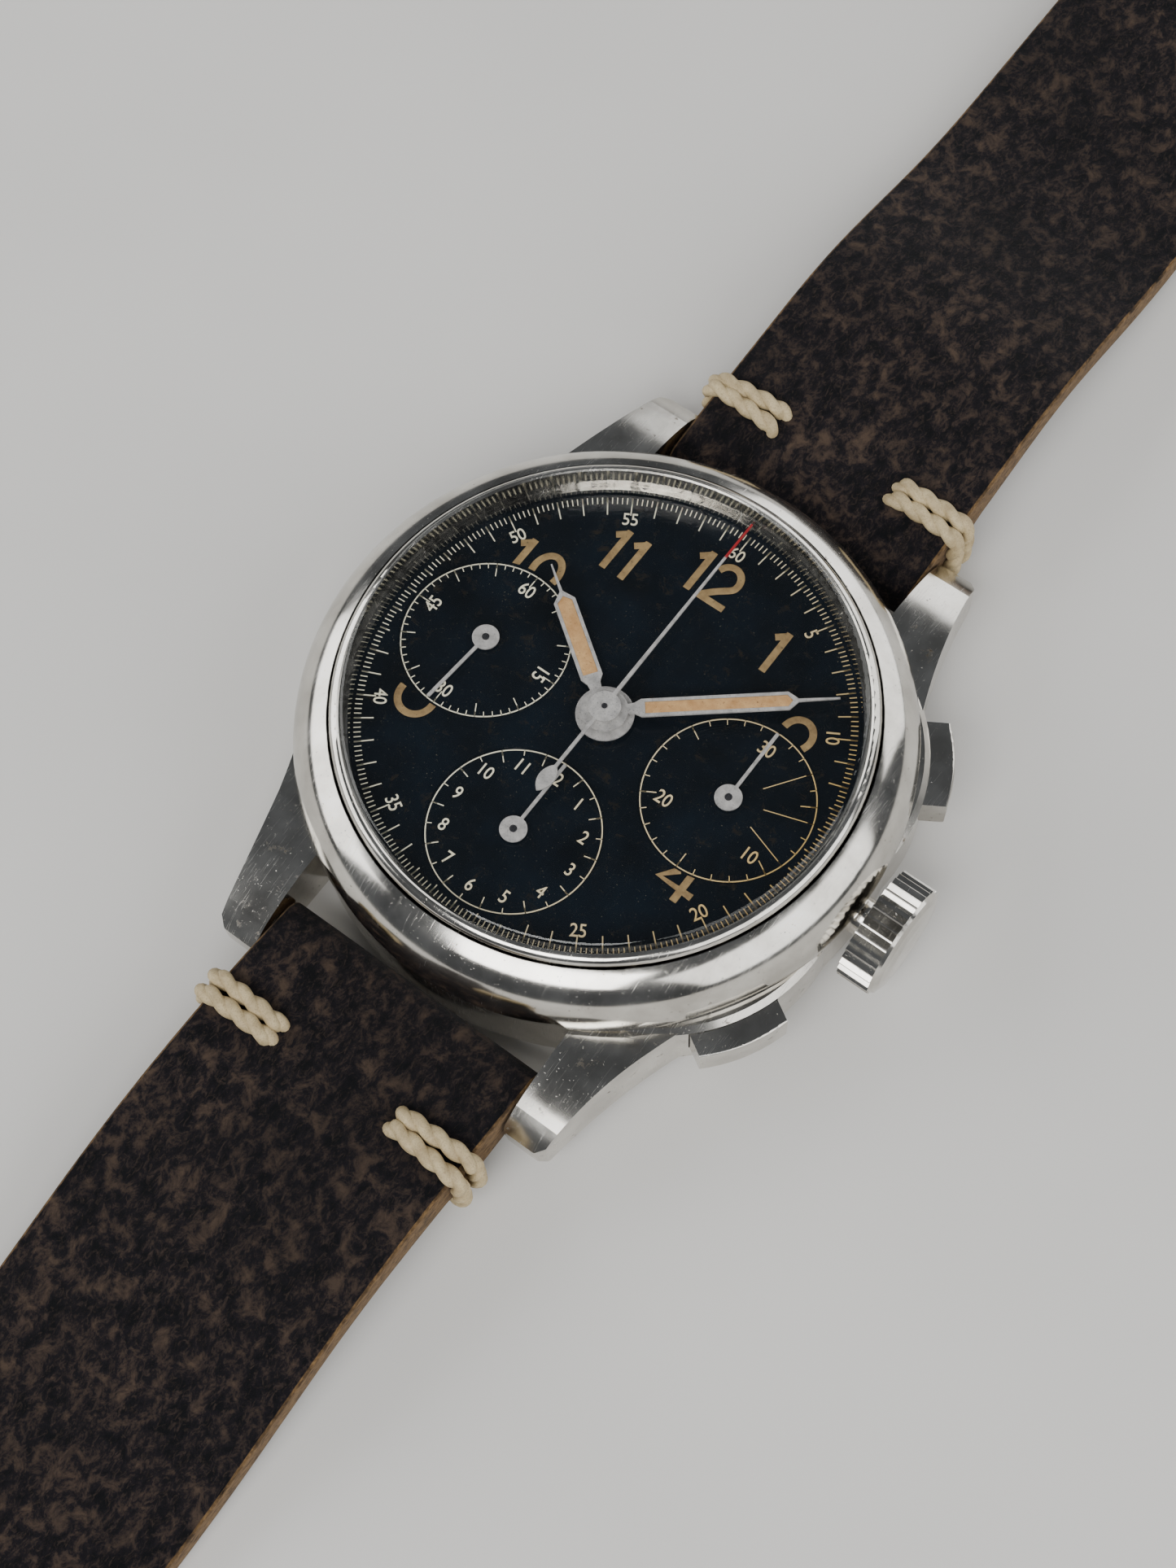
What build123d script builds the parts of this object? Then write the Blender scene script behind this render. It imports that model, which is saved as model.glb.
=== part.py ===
from build123d import *
import math
import os

# Three-register wrist chronograph: a mechanical stopwatch and watch in one steel case on a leather strap.
# In millimetres: Z = 0 is the flat of the case back, +Z points out of the dial, +Y at 12 o'clock and
# +X at 3 o'clock, where the crown is. The Z axis is that of the dial, the centre wheel and the sweep hand.

# ---------------------------------------------------------------- driving dimensions
case_d = 36.2            # bezel, the widest round part
lug_gap = 18.0           # between the lugs, where the strap goes
lug_span = 43.8          # lug tip to lug tip
lug_tip_w = 2.7
back_h = 1.5             # case back, outside the middle
middle_h = 4.7           # case middle, from the back to the bezel
bezel_h = 4.6
movement_d = 29.4        # 13 lines
dial_d = 30.6
dial_t = 0.4
track_r = 14.6           # outer edge of the minute track
register_offset = 8.64   # from the centre to each small dial's centre
register_r = 5.15
crown_r = 3.5
crown_t = 2.4
pusher_w = 5.3
pusher_h = 2.3
pusher_out = 2.1         # how far a pusher stands out of the case
pusher_travel = 0.8
pusher_angle = 31.0      # above and below the crown
strap_t = 2.0
strap_long = 118.0       # from the bar to the pointed tip
strap_short = 76.0       # from the bar to the buckle's bar
arch_h = 2.2             # how far the strap arches over the table beside the lugs
slip = 0.05              # radial clearance of everything that turns or slides
side_gap = 0.15          # between strap and lugs

# ---------------------------------------------------------------- heights
middle_z0 = back_h
middle_z1 = middle_z0 + middle_h
bezel_z1 = middle_z1 + bezel_h
spigot_h = 1.2           # the middle's collar that the bezel snaps over
dial_z1 = middle_z1 + 2.4
dial_z0 = dial_z1 - dial_t
plate_z1 = dial_z0
plate_t = 1.6
plate_z0 = plate_z1 - plate_t
bridge_t = 0.8
bridge_z1 = plate_z0 - 2.5
bridge_z0 = bridge_z1 - bridge_t
chrono_z = bridge_z0 - 1.1        # underside of the chronograph wheels
cam_z = chrono_z - 0.45           # underside of the heart cams
stem_z = (middle_z0 + middle_z1) / 2 + 0.75

# ---------------------------------------------------------------- radii
case_r = case_d / 2
bore_r = dial_d / 2 - 0.1
collar_r = bore_r + 0.8
middle_r = case_r - 0.25
crystal_r = track_r + 0.45
back_r = case_r - 1.2
crown_x0 = case_r + 0.6           # inner face of the crown, pushed in
stem_x0 = register_offset + 1.0
movement_r = movement_d / 2
bar_y = lug_span / 2 - 2.3
bar_z = middle_z0 + 1.75
bar_r = 0.75
lug_edge = lug_gap / 2

# ---------------------------------------------------------------- wheels: teeth, module
centre_pinion = (10, 0.12)
barrel_gear = (80, 0.12)
centre_gear = (60, 0.15)
third_pinion = (8, 0.15)
third_gear = (64, 0.13)
fourth_pinion = (8, 0.13)
fourth_gear = (80, 0.11)
escape_pinion = (8, 0.11)
escape_teeth = 15
escape_r = 2.3
cannon_leaves = (12, 0.125)
minute_gear = (36, 0.125)
minute_pinion = (10, 0.12)
hour_gear = (40, 0.12)
ratchet_gear = (64, 0.14)
crown_gear = (32, 0.14)
drive_gear = (60, 0.0933)
coupling_gear = (36, 0.0933)
minute_counter_gear = (30, 0.127)
hour_counter_gear = (60, 0.08)
wheel_t = 0.2


def pitch_r(gear):
    return gear[0] * gear[1] / 2


def mesh_distance(a, b):
    return pitch_r(a) + pitch_r(b)


def triangle_point(p, q, from_p, from_q, side):
    """The point at those two distances from p and q, on the left (+1) or right (-1) of the line p to q."""
    dx, dy = q[0] - p[0], q[1] - p[1]
    span = math.hypot(dx, dy)
    along = (from_p**2 - from_q**2 + span**2) / (2 * span)
    off = side * math.sqrt(from_p**2 - along**2)
    return (p[0] + (along * dx - off * dy) / span, p[1] + (along * dy + off * dx) / span)


def polar(origin, distance, degrees):
    a = math.radians(degrees)
    return (origin[0] + distance * math.cos(a), origin[1] + distance * math.sin(a))


centre_at = (0.0, 0.0)
seconds_at = (-register_offset, 0.0)
minutes_at = (register_offset, 0.0)
hours_at = (0.0, -register_offset)
centre_to_third = mesh_distance(centre_gear, third_pinion)
third_to_fourth = mesh_distance(third_gear, fourth_pinion)
third_at = triangle_point(centre_at, seconds_at, centre_to_third, third_to_fourth, 1)
escape_at = polar(seconds_at, mesh_distance(fourth_gear, escape_pinion), 75)
barrel_at = polar(centre_at, mesh_distance(barrel_gear, centre_pinion), 36)
balance_at = (-3.6, 9.2)
pallet_at = triangle_point(escape_at, balance_at, 2.75, 3.2, 1)
minute_wheel_at = polar(centre_at, mesh_distance(cannon_leaves, minute_gear), 125)
crown_wheel_at = triangle_point(
    barrel_at, (stem_x0 + 1.4, 0.0), mesh_distance(ratchet_gear, crown_gear), pitch_r(crown_gear) - 0.15, 1
)
clutch_arm = pitch_r(drive_gear) + pitch_r(coupling_gear)
coupling_on = triangle_point(seconds_at, centre_at, clutch_arm, clutch_arm, 1)
clutch_open = 360 / drive_gear[0]   # degrees the clutch lever stands back: one tooth of the driving wheel
column_at = (5.4, 8.8)
lever_pivot = (9.0, 10.4)
hammer_pivot = (11.4, -2.9)
brake_pivot = (-5.2, -3.6)


def turned(point, pivot, degrees):
    a = math.radians(degrees)
    dx, dy = point[0] - pivot[0], point[1] - pivot[1]
    return (pivot[0] + dx * math.cos(a) - dy * math.sin(a), pivot[1] + dx * math.sin(a) + dy * math.cos(a))


coupling_at = turned(coupling_on, seconds_at, clutch_open)

os.makedirs("parts", exist_ok=True)


def save(shape, name):
    solids = shape.solids()
    export_step(solids[0] if len(solids) == 1 else Compound(children=list(solids)), f"parts/{name}.step")


# ---------------------------------------------------------------- small builders
def disc(radius, z0, z1, at=(0, 0)):
    return Pos(at[0], at[1], (z0 + z1) / 2) * Cylinder(radius, z1 - z0)


def tube(outer, inner, z0, z1, at=(0, 0)):
    return disc(outer, z0, z1, at) - disc(inner, z0 - 1, z1 + 1, at)


def rod_x(radius, x0, x1, y=0.0, z=0.0):
    return Pos((x0 + x1) / 2, y, z) * Rot(0, 90, 0) * Cylinder(radius, x1 - x0)


def revolved(points):
    """A ring or cap: the closed outline (radius, z) turned about Z."""
    return revolve(Plane.XZ * make_face(Polyline(*points, close=True)), Axis.Z)


def slab(face, z0, z1):
    return extrude(Pos(0, 0, z0) * face, z1 - z0)


def bar_link(p, q, w):
    """A round-ended flat link in plan between two points."""
    dx, dy = q[0] - p[0], q[1] - p[1]
    mid = Pos((p[0] + q[0]) / 2, (p[1] + q[1]) / 2)
    return mid * Rot(0, 0, math.degrees(math.atan2(dy, dx))) * SlotCenterToCenter(math.hypot(dx, dy), w)


def at(point, face):
    return Pos(point[0], point[1]) * face


def gear_face(gear, tooth_at=0.0, share=0.42):
    """A wheel's outline with flat-sided teeth; one tooth's middle lies at tooth_at degrees."""
    teeth, module = gear
    r = pitch_r(gear)
    tip, root = r + 0.85 * module, r - 1.15 * module
    step = 360 / teeth
    points = []
    for n in range(teeth):
        for radius, width in ((root, 0.62), (tip, 0.2), (tip, -0.2), (root, -0.62)):
            turn = tooth_at + (n - width * share) * step
            points.append(polar((0, 0), radius, turn))
    return make_face(Polyline(*points, close=True))


def phase_on(driver, driver_tooth, driver_at, driven, driven_at):
    """Degrees of a driven wheel's tooth that put its gap on the driver's tooth at the line of centres."""
    line = math.degrees(math.atan2(driven_at[1] - driver_at[1], driven_at[0] - driver_at[0]))
    passed = (line - driver_tooth) * driver[0] / 360
    return line + 180 + (passed - 0.5) * 360 / driven[0]


def crossed(face, rim_r, hub_r, arms=4, arm_w=0.45):
    """Opens a wheel's web so that only its arms, rim and hub are left."""
    spokes = Rectangle(2 * rim_r, arm_w)
    for n in range(1, arms // 2):
        spokes += Rot(0, 0, 360 / arms * n) * Rectangle(2 * rim_r, arm_w)
    return face - (Circle(rim_r) - Circle(hub_r) - spokes)


def wheel(gear, z0, point, tooth_at=0.0, thickness=wheel_t, arms=4):
    r = pitch_r(gear)
    face = gear_face(gear, tooth_at)
    if arms:
        face = crossed(face, r - 2.4 * gear[1] - 0.1, 0.7, arms)
    return slab(at(point, face), z0, z0 + thickness)


def pinion(gear, z0, z1, point, tooth_at=0.0):
    return slab(at(point, gear_face(gear, tooth_at, 0.34)), z0, z1)


def heart_face(big, small, heading):
    """The heart cam's outline: two spirals of even rise that meet in a notch at heading."""
    steps = 20
    points = []
    for n in range(-steps, steps + 1):
        share = abs(n) / steps
        points.append(polar((0, 0), small + (big - small) * share, heading + 180 * n / steps))
    return make_face(Polyline(*points[:-1], close=True))


# ---------------------------------------------------------------- case
def lug_plan():
    """One lug in plan, at 12 o'clock on the crown's side."""
    tip_y = lug_span / 2
    tip_x = lug_edge + lug_tip_w
    root = polar((0, 0), middle_r, 33)
    bend = (tip_x + 0.42 * (root[0] - tip_x) - 0.3, tip_y + 0.5 * (root[1] - tip_y))
    flank = ThreePointArc((tip_x, tip_y - 0.5), bend, root)
    rest = Polyline(
        root, (lug_edge + 1, 0), (lug_edge, 3), (lug_edge, tip_y), (tip_x - 0.5, tip_y), (tip_x, tip_y - 0.5)
    )
    return make_face([flank, rest])


def lug_side():
    """The lugs' outline from the side, in Y and Z, for the 12 o'clock pair."""
    tip = lug_span / 2
    top = middle_z1 - 0.25
    rest = Polyline(
        (tip + 0.05, middle_z0 + 2.3), (tip - 0.1, middle_z0 + 0.6), (tip - 0.7, middle_z0 + 0.05),
        (0, middle_z0), (0, top), (tip - 8, top),
    )
    crest = ThreePointArc((tip - 8, top), (tip - 3.4, top - 0.32), (tip - 1.4, top - 1.0))
    nose = ThreePointArc((tip - 1.4, top - 1.0), (tip - 0.35, top - 1.75), (tip + 0.05, middle_z0 + 2.3))
    return make_face([rest, crest, nose])


def pusher_place(sign):
    return Rot(0, 0, sign * pusher_angle)


tube_r = 1.2
pusher_well = pusher_travel + 0.5      # depth of the slot that a pusher's cap sinks into
shoulder_r, shoulder_out = 10.8, 0.95  # the bosses round the pushers: their curve, and how far they stand out
cap_x1 = case_r + pusher_out           # a cap's outer face, from the dial's axis
cap_x0 = middle_r - 0.2                # its inner face, at rest
stem_r = 0.65
stem_end = movement_r - 0.55           # where a pusher's stem ends, inside the movement's edge


def shoulder():
    """Shallow boss that stands out round a pusher and runs into the lug beside it."""
    boss = disc(shoulder_r, middle_z0, middle_z1, (middle_r + shoulder_out - shoulder_r, 0))
    return chamfer(boss.edges().group_by(Axis.Z)[0] + boss.edges().group_by(Axis.Z)[-1], 0.35)


def case_middle():
    ring = disc(middle_r, middle_z0, middle_z1)
    ring = chamfer(ring.edges().group_by(Axis.Z)[0], 0.4)
    for sign in (1, -1):
        ring += pusher_place(sign) * shoulder()
    lug = slab(lug_plan(), 0, middle_z1)
    profile = extrude(Plane.YZ * lug_side(), 3 * case_r)
    one = lug & profile
    one = fillet(one.edges().filter_by(Axis.Z).sort_by(Axis.Y)[-2:], 0.25)
    pair = one + mirror(one, Plane.YZ)
    body = ring + pair + mirror(pair, Plane.XZ)
    body += tube(collar_r, bore_r - 0.2, middle_z1, middle_z1 + spigot_h)
    body -= disc(bore_r, middle_z0 - 1, middle_z1 + spigot_h + 1)
    body -= rod_x(tube_r, bore_r - 1, case_r, z=stem_z)
    for sign in (1, -1):
        slot = Pos((middle_r - pusher_well + case_r + 6) / 2, 0, stem_z) * Box(
            case_r + 6 - middle_r + pusher_well, pusher_w + 2 * slip, pusher_h + 2 * slip
        )
        body -= pusher_place(sign) * (slot + rod_x(stem_r + slip, bore_r - 1, case_r, z=stem_z))
    for end in (1, -1):
        body -= rod_x(0.4 + slip, -lug_edge - 1.3, lug_edge + 1.3, end * bar_y, bar_z)
    return body


def turned_outline(*curves):
    """Turns a closed outline, drawn as curves in (radius, z), about Z."""
    return revolve(Plane.XZ * make_face(list(curves)), Axis.Z)


seat_z = dial_z1 + 0.45           # the ledge that the crystal stands on


def bezel():
    """Ring with a broad rounded flank, a fine step, and a lip round the crystal."""
    foot_r, top_r = case_r, crystal_r + 0.75
    step_z = middle_z1 + 4.0
    lip_z = dial_z1 + 0.06
    inner = crystal_r + 0.02
    rehaut_r = crystal_r - 0.3
    over_collar_z = middle_z1 + spigot_h + 0.05
    flank = ThreePointArc((foot_r, middle_z1 + 0.3), (foot_r - 0.45, middle_z1 + 2.5), (top_r, step_z))
    step = Polyline((top_r, step_z), (top_r - 0.1, step_z - 0.12), (top_r - 0.12, step_z + 0.1))
    rim = (top_r - 0.62, bezel_z1 - 0.04)
    crest = ThreePointArc((top_r - 0.12, step_z + 0.1), (top_r - 0.38, bezel_z1 - 0.12), rim)
    inside = Polyline(
        rim, (inner, bezel_z1 - 0.1), (inner, seat_z), (rehaut_r, seat_z),
        (rehaut_r, lip_z + 0.1), (rehaut_r + 0.08, lip_z), (dial_d / 2 + 0.06, lip_z),
        (dial_d / 2 + 0.06, over_collar_z), (collar_r + 0.01, over_collar_z), (collar_r + 0.01, middle_z1),
        (foot_r - 0.15, middle_z1), (foot_r, middle_z1 + 0.3),
    )
    return turned_outline(flank, step, crest, inside)


def cap_arc(radius, apex, rise, edge_r):
    """Arc of a sphere about Z from edge_r to the apex; the sphere drops by rise at radius."""
    ball_r = (radius**2 + rise**2) / (2 * rise)
    height = lambda r: apex - ball_r + math.sqrt(ball_r**2 - r**2)
    return [(r, height(r)) for r in (edge_r, edge_r / 2, 0)]


def crystal():
    """Domed acrylic with a rounded shoulder, pressed into the bezel."""
    apex, rise = bezel_z1 + 1.9, 1.2
    wall, thick, turn = 0.5, 1.1, 0.45
    over = cap_arc(crystal_r, apex, rise, crystal_r - turn)
    under = cap_arc(crystal_r, apex - thick, rise, crystal_r - wall)
    shoulder = (crystal_r, over[0][1] - turn)
    bend = ThreePointArc(shoulder, (crystal_r - 0.3 * turn, over[0][1] - 0.3 * turn), over[0])
    middle = Line(over[-1], under[-1])
    rim = Polyline(under[0], (crystal_r - wall, seat_z), (crystal_r, seat_z), shoulder)
    return turned_outline(bend, ThreePointArc(*over), middle, ThreePointArc(*under), rim)


def case_back():
    cap = revolved([
        (0, 0), (back_r - 3.4, 0), (back_r - 3.1, 0.12), (back_r - 1.2, 0.3), (back_r - 0.1, 1.0),
        (back_r, back_h - 0.02), (bore_r - 0.1, back_h - 0.02), (bore_r - 0.1, back_h + 0.9),
        (bore_r - 0.5, back_h + 0.9), (bore_r - 0.5, 0.95), (0, 0.95),
    ])
    lift = Pos(0, -back_r, back_h) * Box(4.0, 0.9, 0.5)
    return cap - lift


def crown():
    """Fluted crown with a plain domed cap and a tube skirt."""
    flutes, flute = 36, 0.42
    body = rod_x(crown_r, crown_x0, crown_x0 + crown_t - 0.35, z=stem_z)
    groove_at = Pos(crown_x0 + crown_t / 2 - 0.1, 0, stem_z + crown_r + 0.02)
    groove = groove_at * Rot(45, 0, 0) * Box(crown_t + 1, flute, flute)
    turns = [Rot(360 / flutes * n, 0, 0) for n in range(flutes)]
    cuts = [Pos(0, 0, stem_z) * turn * Pos(0, 0, -stem_z) * groove for turn in turns]
    body = body - cuts
    cap_x = crown_x0 + crown_t - 0.35
    cap = Plane.XY * make_face(Polyline(
        (cap_x, 0), (cap_x, crown_r - 0.12), (cap_x + 0.2, crown_r - 0.2), (cap_x + 0.38, crown_r - 0.65),
        (cap_x + 0.5, crown_r * 0.5), (cap_x + 0.55, 0), close=True,
    ))
    body += Pos(0, 0, stem_z) * revolve(cap, Axis.X)
    body -= rod_x(tube_r + slip, crown_x0 - 1, crown_x0 + 1.2, z=stem_z)
    return body - rod_x(0.45, crown_x0 - 1, crown_x0 + 1.6, z=stem_z)


def winding_stem():
    stem = rod_x(0.45, stem_x0 + 0.9, crown_x0 + 1.6, z=stem_z) + rod_x(0.3, stem_x0, stem_x0 + 1.0, z=stem_z)
    groove_x0, groove_x1 = stem_x0 + 3.3, stem_x0 + 3.7
    return stem - (rod_x(0.5, groove_x0, groove_x1, z=stem_z) - rod_x(0.3, groove_x0, groove_x1, z=stem_z))


def winding_pinion():
    """Crown-toothed pinion on the square of the stem."""
    body = rod_x(1.3, stem_x0 + 0.95, stem_x0 + 1.85, z=stem_z)
    groove = Pos(stem_x0 + 1.4, 0, stem_z + 1.3) * Rot(45, 0, 0) * Box(1.2, 0.22, 0.22)
    cuts = [Pos(0, 0, stem_z) * Rot(22.5 * n, 0, 0) * Pos(0, 0, -stem_z) * groove for n in range(16)]
    return (body - cuts) - rod_x(0.45, stem_x0, stem_x0 + 3, z=stem_z)


def crown_tube():
    """The steel tube pressed into the middle that the crown's skirt slides over."""
    outer = rod_x(tube_r, bore_r - 0.5, crown_x0 + 0.8, z=stem_z)
    return outer - rod_x(0.45 + slip, bore_r - 1, crown_x0 + 2, z=stem_z) - disc(bore_r, 0, 20)


def setting_lever():
    """Slides with the stem: its peg sits in the stem's groove."""
    x = stem_x0 + 3.5
    plate = slab(bar_link((x, 0), (x, -2.6), 0.9), stem_z - 1.0, stem_z - 0.7)
    peg = disc(0.17, stem_z - 0.75, stem_z - 0.32, (x, 0))
    return plate + peg


def pusher(sign):
    """Rectangular cap with a slightly rounded outer face, on a round stem that reaches the movement."""
    rim_x = cap_x1 - 0.3
    bulge = ThreePointArc((rim_x, pusher_w / 2), (cap_x1 + 0.05, 0), (rim_x, -pusher_w / 2))
    half = pusher_w / 2
    sides = Polyline((rim_x, -half), (cap_x0, -half), (cap_x0, half), (rim_x, half))
    cap = slab(make_face([bulge, sides]), stem_z - pusher_h / 2, stem_z + pusher_h / 2)
    cap = fillet(cap.edges().filter_by(GeomType.CIRCLE), 0.16)
    return pusher_place(sign) * (cap + rod_x(stem_r, stem_end, cap_x0 + 0.1, z=stem_z))


def case_ring():
    """The movement ring that centres the movement in the middle, with room for stem and pushers."""
    ring = tube(bore_r - 0.03, movement_r + 0.03, bridge_z0 + 0.3, plate_z1 - 0.05)
    ring -= rod_x(1.5, movement_r - 1, bore_r + 1, z=stem_z)
    for sign in (1, -1):
        ring -= pusher_place(sign) * rod_x(stem_r + 0.3, movement_r - 1, bore_r + 1, z=stem_z)
    return ring


def spring_bars():
    """The two sprung bars between the lugs, with thin ends in the lugs' holes."""
    half = lug_edge - 0.1
    bars = []
    for y in (bar_y, -bar_y):
        body = rod_x(bar_r, -half, half, y, bar_z) + rod_x(0.4, -half - 0.9, half + 0.9, y, bar_z)
        bars.append(body.solid())
    return Compound(children=bars)


# ---------------------------------------------------------------- dial and hands
hole_clear = 0.12


def dial():
    """Dial with three sunk registers, holes for the five arbors and two feet."""
    body = disc(dial_d / 2, dial_z0, dial_z1)
    for point in (seconds_at, minutes_at, hours_at):
        body -= disc(register_r, dial_z1 - 0.08, dial_z1 + 1, point)
        body -= disc(0.25 + hole_clear, dial_z0 - 1, dial_z1 + 1, point)
    body -= disc(1.0 + hole_clear, dial_z0 - 1, dial_z1 + 1)
    for degrees in (52, 232):
        body += disc(0.35, dial_z0 - 1.0, dial_z0 + 0.1, polar((0, 0), dial_d / 2 - 1.9, degrees))
    return body


hour_z = dial_z1 + 0.42
minute_z = hour_z + 0.5
sweep_z = minute_z + 0.5
hand_t = 0.14
small_z = dial_z1 + 0.14


def pencil_hand(length, width, neck, boss_r, bore, z0, heading):
    """Syringe hand: a boss, a broad body with a window for the luminous fill, and a fine point."""
    point_l = length - neck
    edge = [
        (boss_r * 0.8, width * 0.22), (boss_r + 0.35, width * 0.3), (boss_r + 0.75, width / 2),
        (point_l - width / 2, width / 2), (point_l, 0.09), (length, 0.045),
    ]
    body = Polyline([(x, -y) for x, y in edge] + edge[::-1], close=True)
    frame_w = 0.2
    window_y, window_x0, window_x1 = width / 2 - frame_w, boss_r + 0.95, point_l - width * 0.55
    window = Polyline(
        (window_x0, -window_y), (window_x1, -window_y), (point_l - 0.32, 0), (window_x1, window_y),
        (window_x0, window_y), close=True,
    )
    face = make_face(body) + Circle(boss_r) - make_face(window) - Circle(bore)
    return slab(Rot(0, 0, heading) * face, z0, z0 + hand_t)


hour_heading = 144.5     # degrees from +X: the hour hand stands just past 10
minute_heading = 39.0    # the minute hand stands between 8 and 9 minutes
seconds_heading = -94.5
hour_length, hour_w, hour_neck = 10.2, 1.3, 1.9
minute_length, minute_w, minute_neck = 13.4, 1.12, 2.35
boss_hour, boss_minute, boss_sweep = 1.7, 1.35, 0.95


def small_hand(point, heading, length):
    """Register hand: a round boss on its arbor and a straight pointer."""
    boss_r, bore, width = 0.8, 0.22, 0.2
    pointer = Rot(0, 0, heading) * Pos(length / 2, 0) * Rectangle(length, width)
    face = Circle(boss_r) + pointer - Circle(bore)
    return slab(at(point, face), small_z, small_z + 0.1)


def sweep_hand():
    """Chronograph seconds hand at zero, with a leaf-shaped counterweight on its tail."""
    tail, leaf_l, leaf_w = 6.4, 1.9, 0.84
    leaf_y = -tail + leaf_l
    front = Polyline((-0.12, 0), (-0.06, track_r - 0.1), (0.06, track_r - 0.1), (0.12, 0), close=True)
    rod = Polyline((-0.1, 0), (-0.1, leaf_y - 0.2), (0.1, leaf_y - 0.2), (0.1, 0), close=True)
    right = ThreePointArc((0, leaf_y), (leaf_w / 2, leaf_y - 0.6), (0, -tail))
    left = ThreePointArc((0, -tail), (-leaf_w / 2, leaf_y - 0.6), (0, leaf_y))
    face = make_face(front) + make_face(rod) + make_face([right, left]) + Circle(boss_sweep) - Circle(sweep_r)
    return slab(face, sweep_z, sweep_z + 0.12)


# ---------------------------------------------------------------- movement
hour_pipe_r, cannon_r, centre_r, sweep_r = 0.95, 0.66, 0.4, 0.17
motion_z = plate_z1 - 0.55         # underside of the hour wheel
cannon_z = plate_z1 - 0.95         # underside of the cannon pinion's leaves
centre_wheel_z = plate_z0 - 0.65
third_wheel_z = plate_z0 - 1.55
fourth_wheel_z = plate_z0 - 2.0
escape_wheel_z = plate_z0 - 1.0
balance_z = bridge_z1 - 0.2
ratchet_z = bridge_z0 - 0.3
arbor_r = 0.15


def pillar_spots():
    rim = movement_r - 1.5
    return {"barrel": [polar((0, 0), rim, 60), polar((0, 0), rim, -22)],
            "train": [polar((0, 0), rim, 158), polar((0, 0), rim, 214), polar((0, 0), rim, 286)]}


def main_plate():
    """Base of the movement: pillar seats below, the motion work's sink above, and a hole for every arbor."""
    body = disc(movement_r, plate_z0, plate_z1)
    body -= disc(pitch_r(hour_gear) + 0.35, plate_z1 - 1.1, plate_z1 + 1)
    body -= disc(pitch_r(minute_gear) + 0.3, plate_z1 - 1.1, plate_z1 + 1, minute_wheel_at)
    for point in (third_at, escape_at, balance_at, pallet_at):
        body -= disc(arbor_r + slip, plate_z0 - 1, plate_z1 - 0.6, point)
    for point in (seconds_at, minutes_at, hours_at):
        body -= disc(0.22 + slip, plate_z0 - 1, plate_z1 + 1, point)
    body -= disc(centre_r + slip, plate_z0 - 1, plate_z1 + 1)
    body -= disc(0.55 + slip, plate_z0 - 1, plate_z0 + 0.8, barrel_at)
    for degrees in (52, 232):
        body -= disc(0.4, plate_z1 - 1.2, plate_z1 + 1, polar((0, 0), dial_d / 2 - 1.9, degrees))
    body += disc(0.3, plate_z1 - 1.15, plate_z1 - 0.2, minute_wheel_at)
    return body


def bridge(outline, holes, pillars, studs=()):
    """A bridge plate with a hole for each arbor, pillars up to the main plate, and studs below for levers."""
    face = outline & Circle(movement_r - 0.35)
    body = slab(face, bridge_z0, bridge_z1)
    for point in pillars:
        body += disc(1.0, bridge_z0, plate_z0, point)
    for point, radius, z0 in studs:
        body += disc(radius, z0, bridge_z0 + 0.1, point)
    for point, radius in holes:
        body -= disc(radius + slip, bridge_z0 - 1, bridge_z1 + 1, point)
    return body


cock_foot = polar((0, 0), movement_r - 1.3, 78)


def barrel_bridge():
    upper = [(1.0, -1.9), (1.0, 20), (20, 20), (20, 3.4), (8.9, 3.4), (7.2, 1.3), (7.2, -1.9)]
    lower = [(6.6, -1.7), (12.2, -1.7), (12.2, -3.4), (20, -3.4), (20, -9), (7.0, -6)]
    outline = make_face(Polyline(upper, close=True)) + make_face(Polyline(lower, close=True))
    outline = outline - at(balance_at, Circle(5.0)) - Circle(1.6)
    outline = outline - at(cock_foot, Circle(1.4)) - bar_link(balance_at, cock_foot, 2.5)
    for sign in (1, -1):
        outline -= at(polar((0, 0), movement_r, sign * pusher_angle), Circle(2.2))
    studs = [
        (lever_pivot, 0.35, chrono_z + 0.6), (column_at, 0.3, chrono_z - 0.45), (hammer_pivot, 0.35, cam_z - 0.05)
    ]
    holes = [(barrel_at, 0.55), (crown_wheel_at, 0.35), (minutes_at, 0.22)]
    return bridge(outline, holes, pillar_spots()["barrel"], studs)


def train_bridge():
    outline = make_face(Polyline(
        (0.8, -20), (0.8, 2.2), (-2.0, 3.9), (-8.2, 6.6), (-20, 9.5), (-20, -20), close=True
    ))
    outline += make_face(Polyline((0, -20), (0, -6), (3.4, -6.5), (6.2, -20), close=True))
    outline = outline - at(balance_at, Circle(4.75))
    holes = [(centre_at, centre_r), (third_at, arbor_r), (seconds_at, 0.22), (escape_at, arbor_r), (hours_at, 0.22)]
    return bridge(outline, holes, pillar_spots()["train"], [(brake_pivot, 0.3, chrono_z - 0.1)])


def balance_cock():
    """Holds the balance's lower jewel: an arm from its own foot at the movement's edge."""
    face = bar_link(balance_at, cock_foot, 1.9) + at(cock_foot, Circle(1.1))
    body = slab(face, bridge_z0 + 0.05, balance_z - 0.35) + disc(0.95, balance_z - 0.5, plate_z0, cock_foot)
    return body - disc(arbor_r + slip, bridge_z0 - 1, plate_z0, balance_at)


def pallet_bridge():
    ends = [polar(pallet_at, 1.55, 150), polar(pallet_at, 1.55, -30)]
    z1 = escape_wheel_z - 0.25
    body = slab(bar_link(ends[0], ends[1], 0.8), z1 - 0.3, z1)
    for point in ends:
        body += disc(0.3, z1 - 0.2, plate_z0, point)
    return body - disc(arbor_r + slip, 0, z1 + 1, pallet_at)


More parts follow.
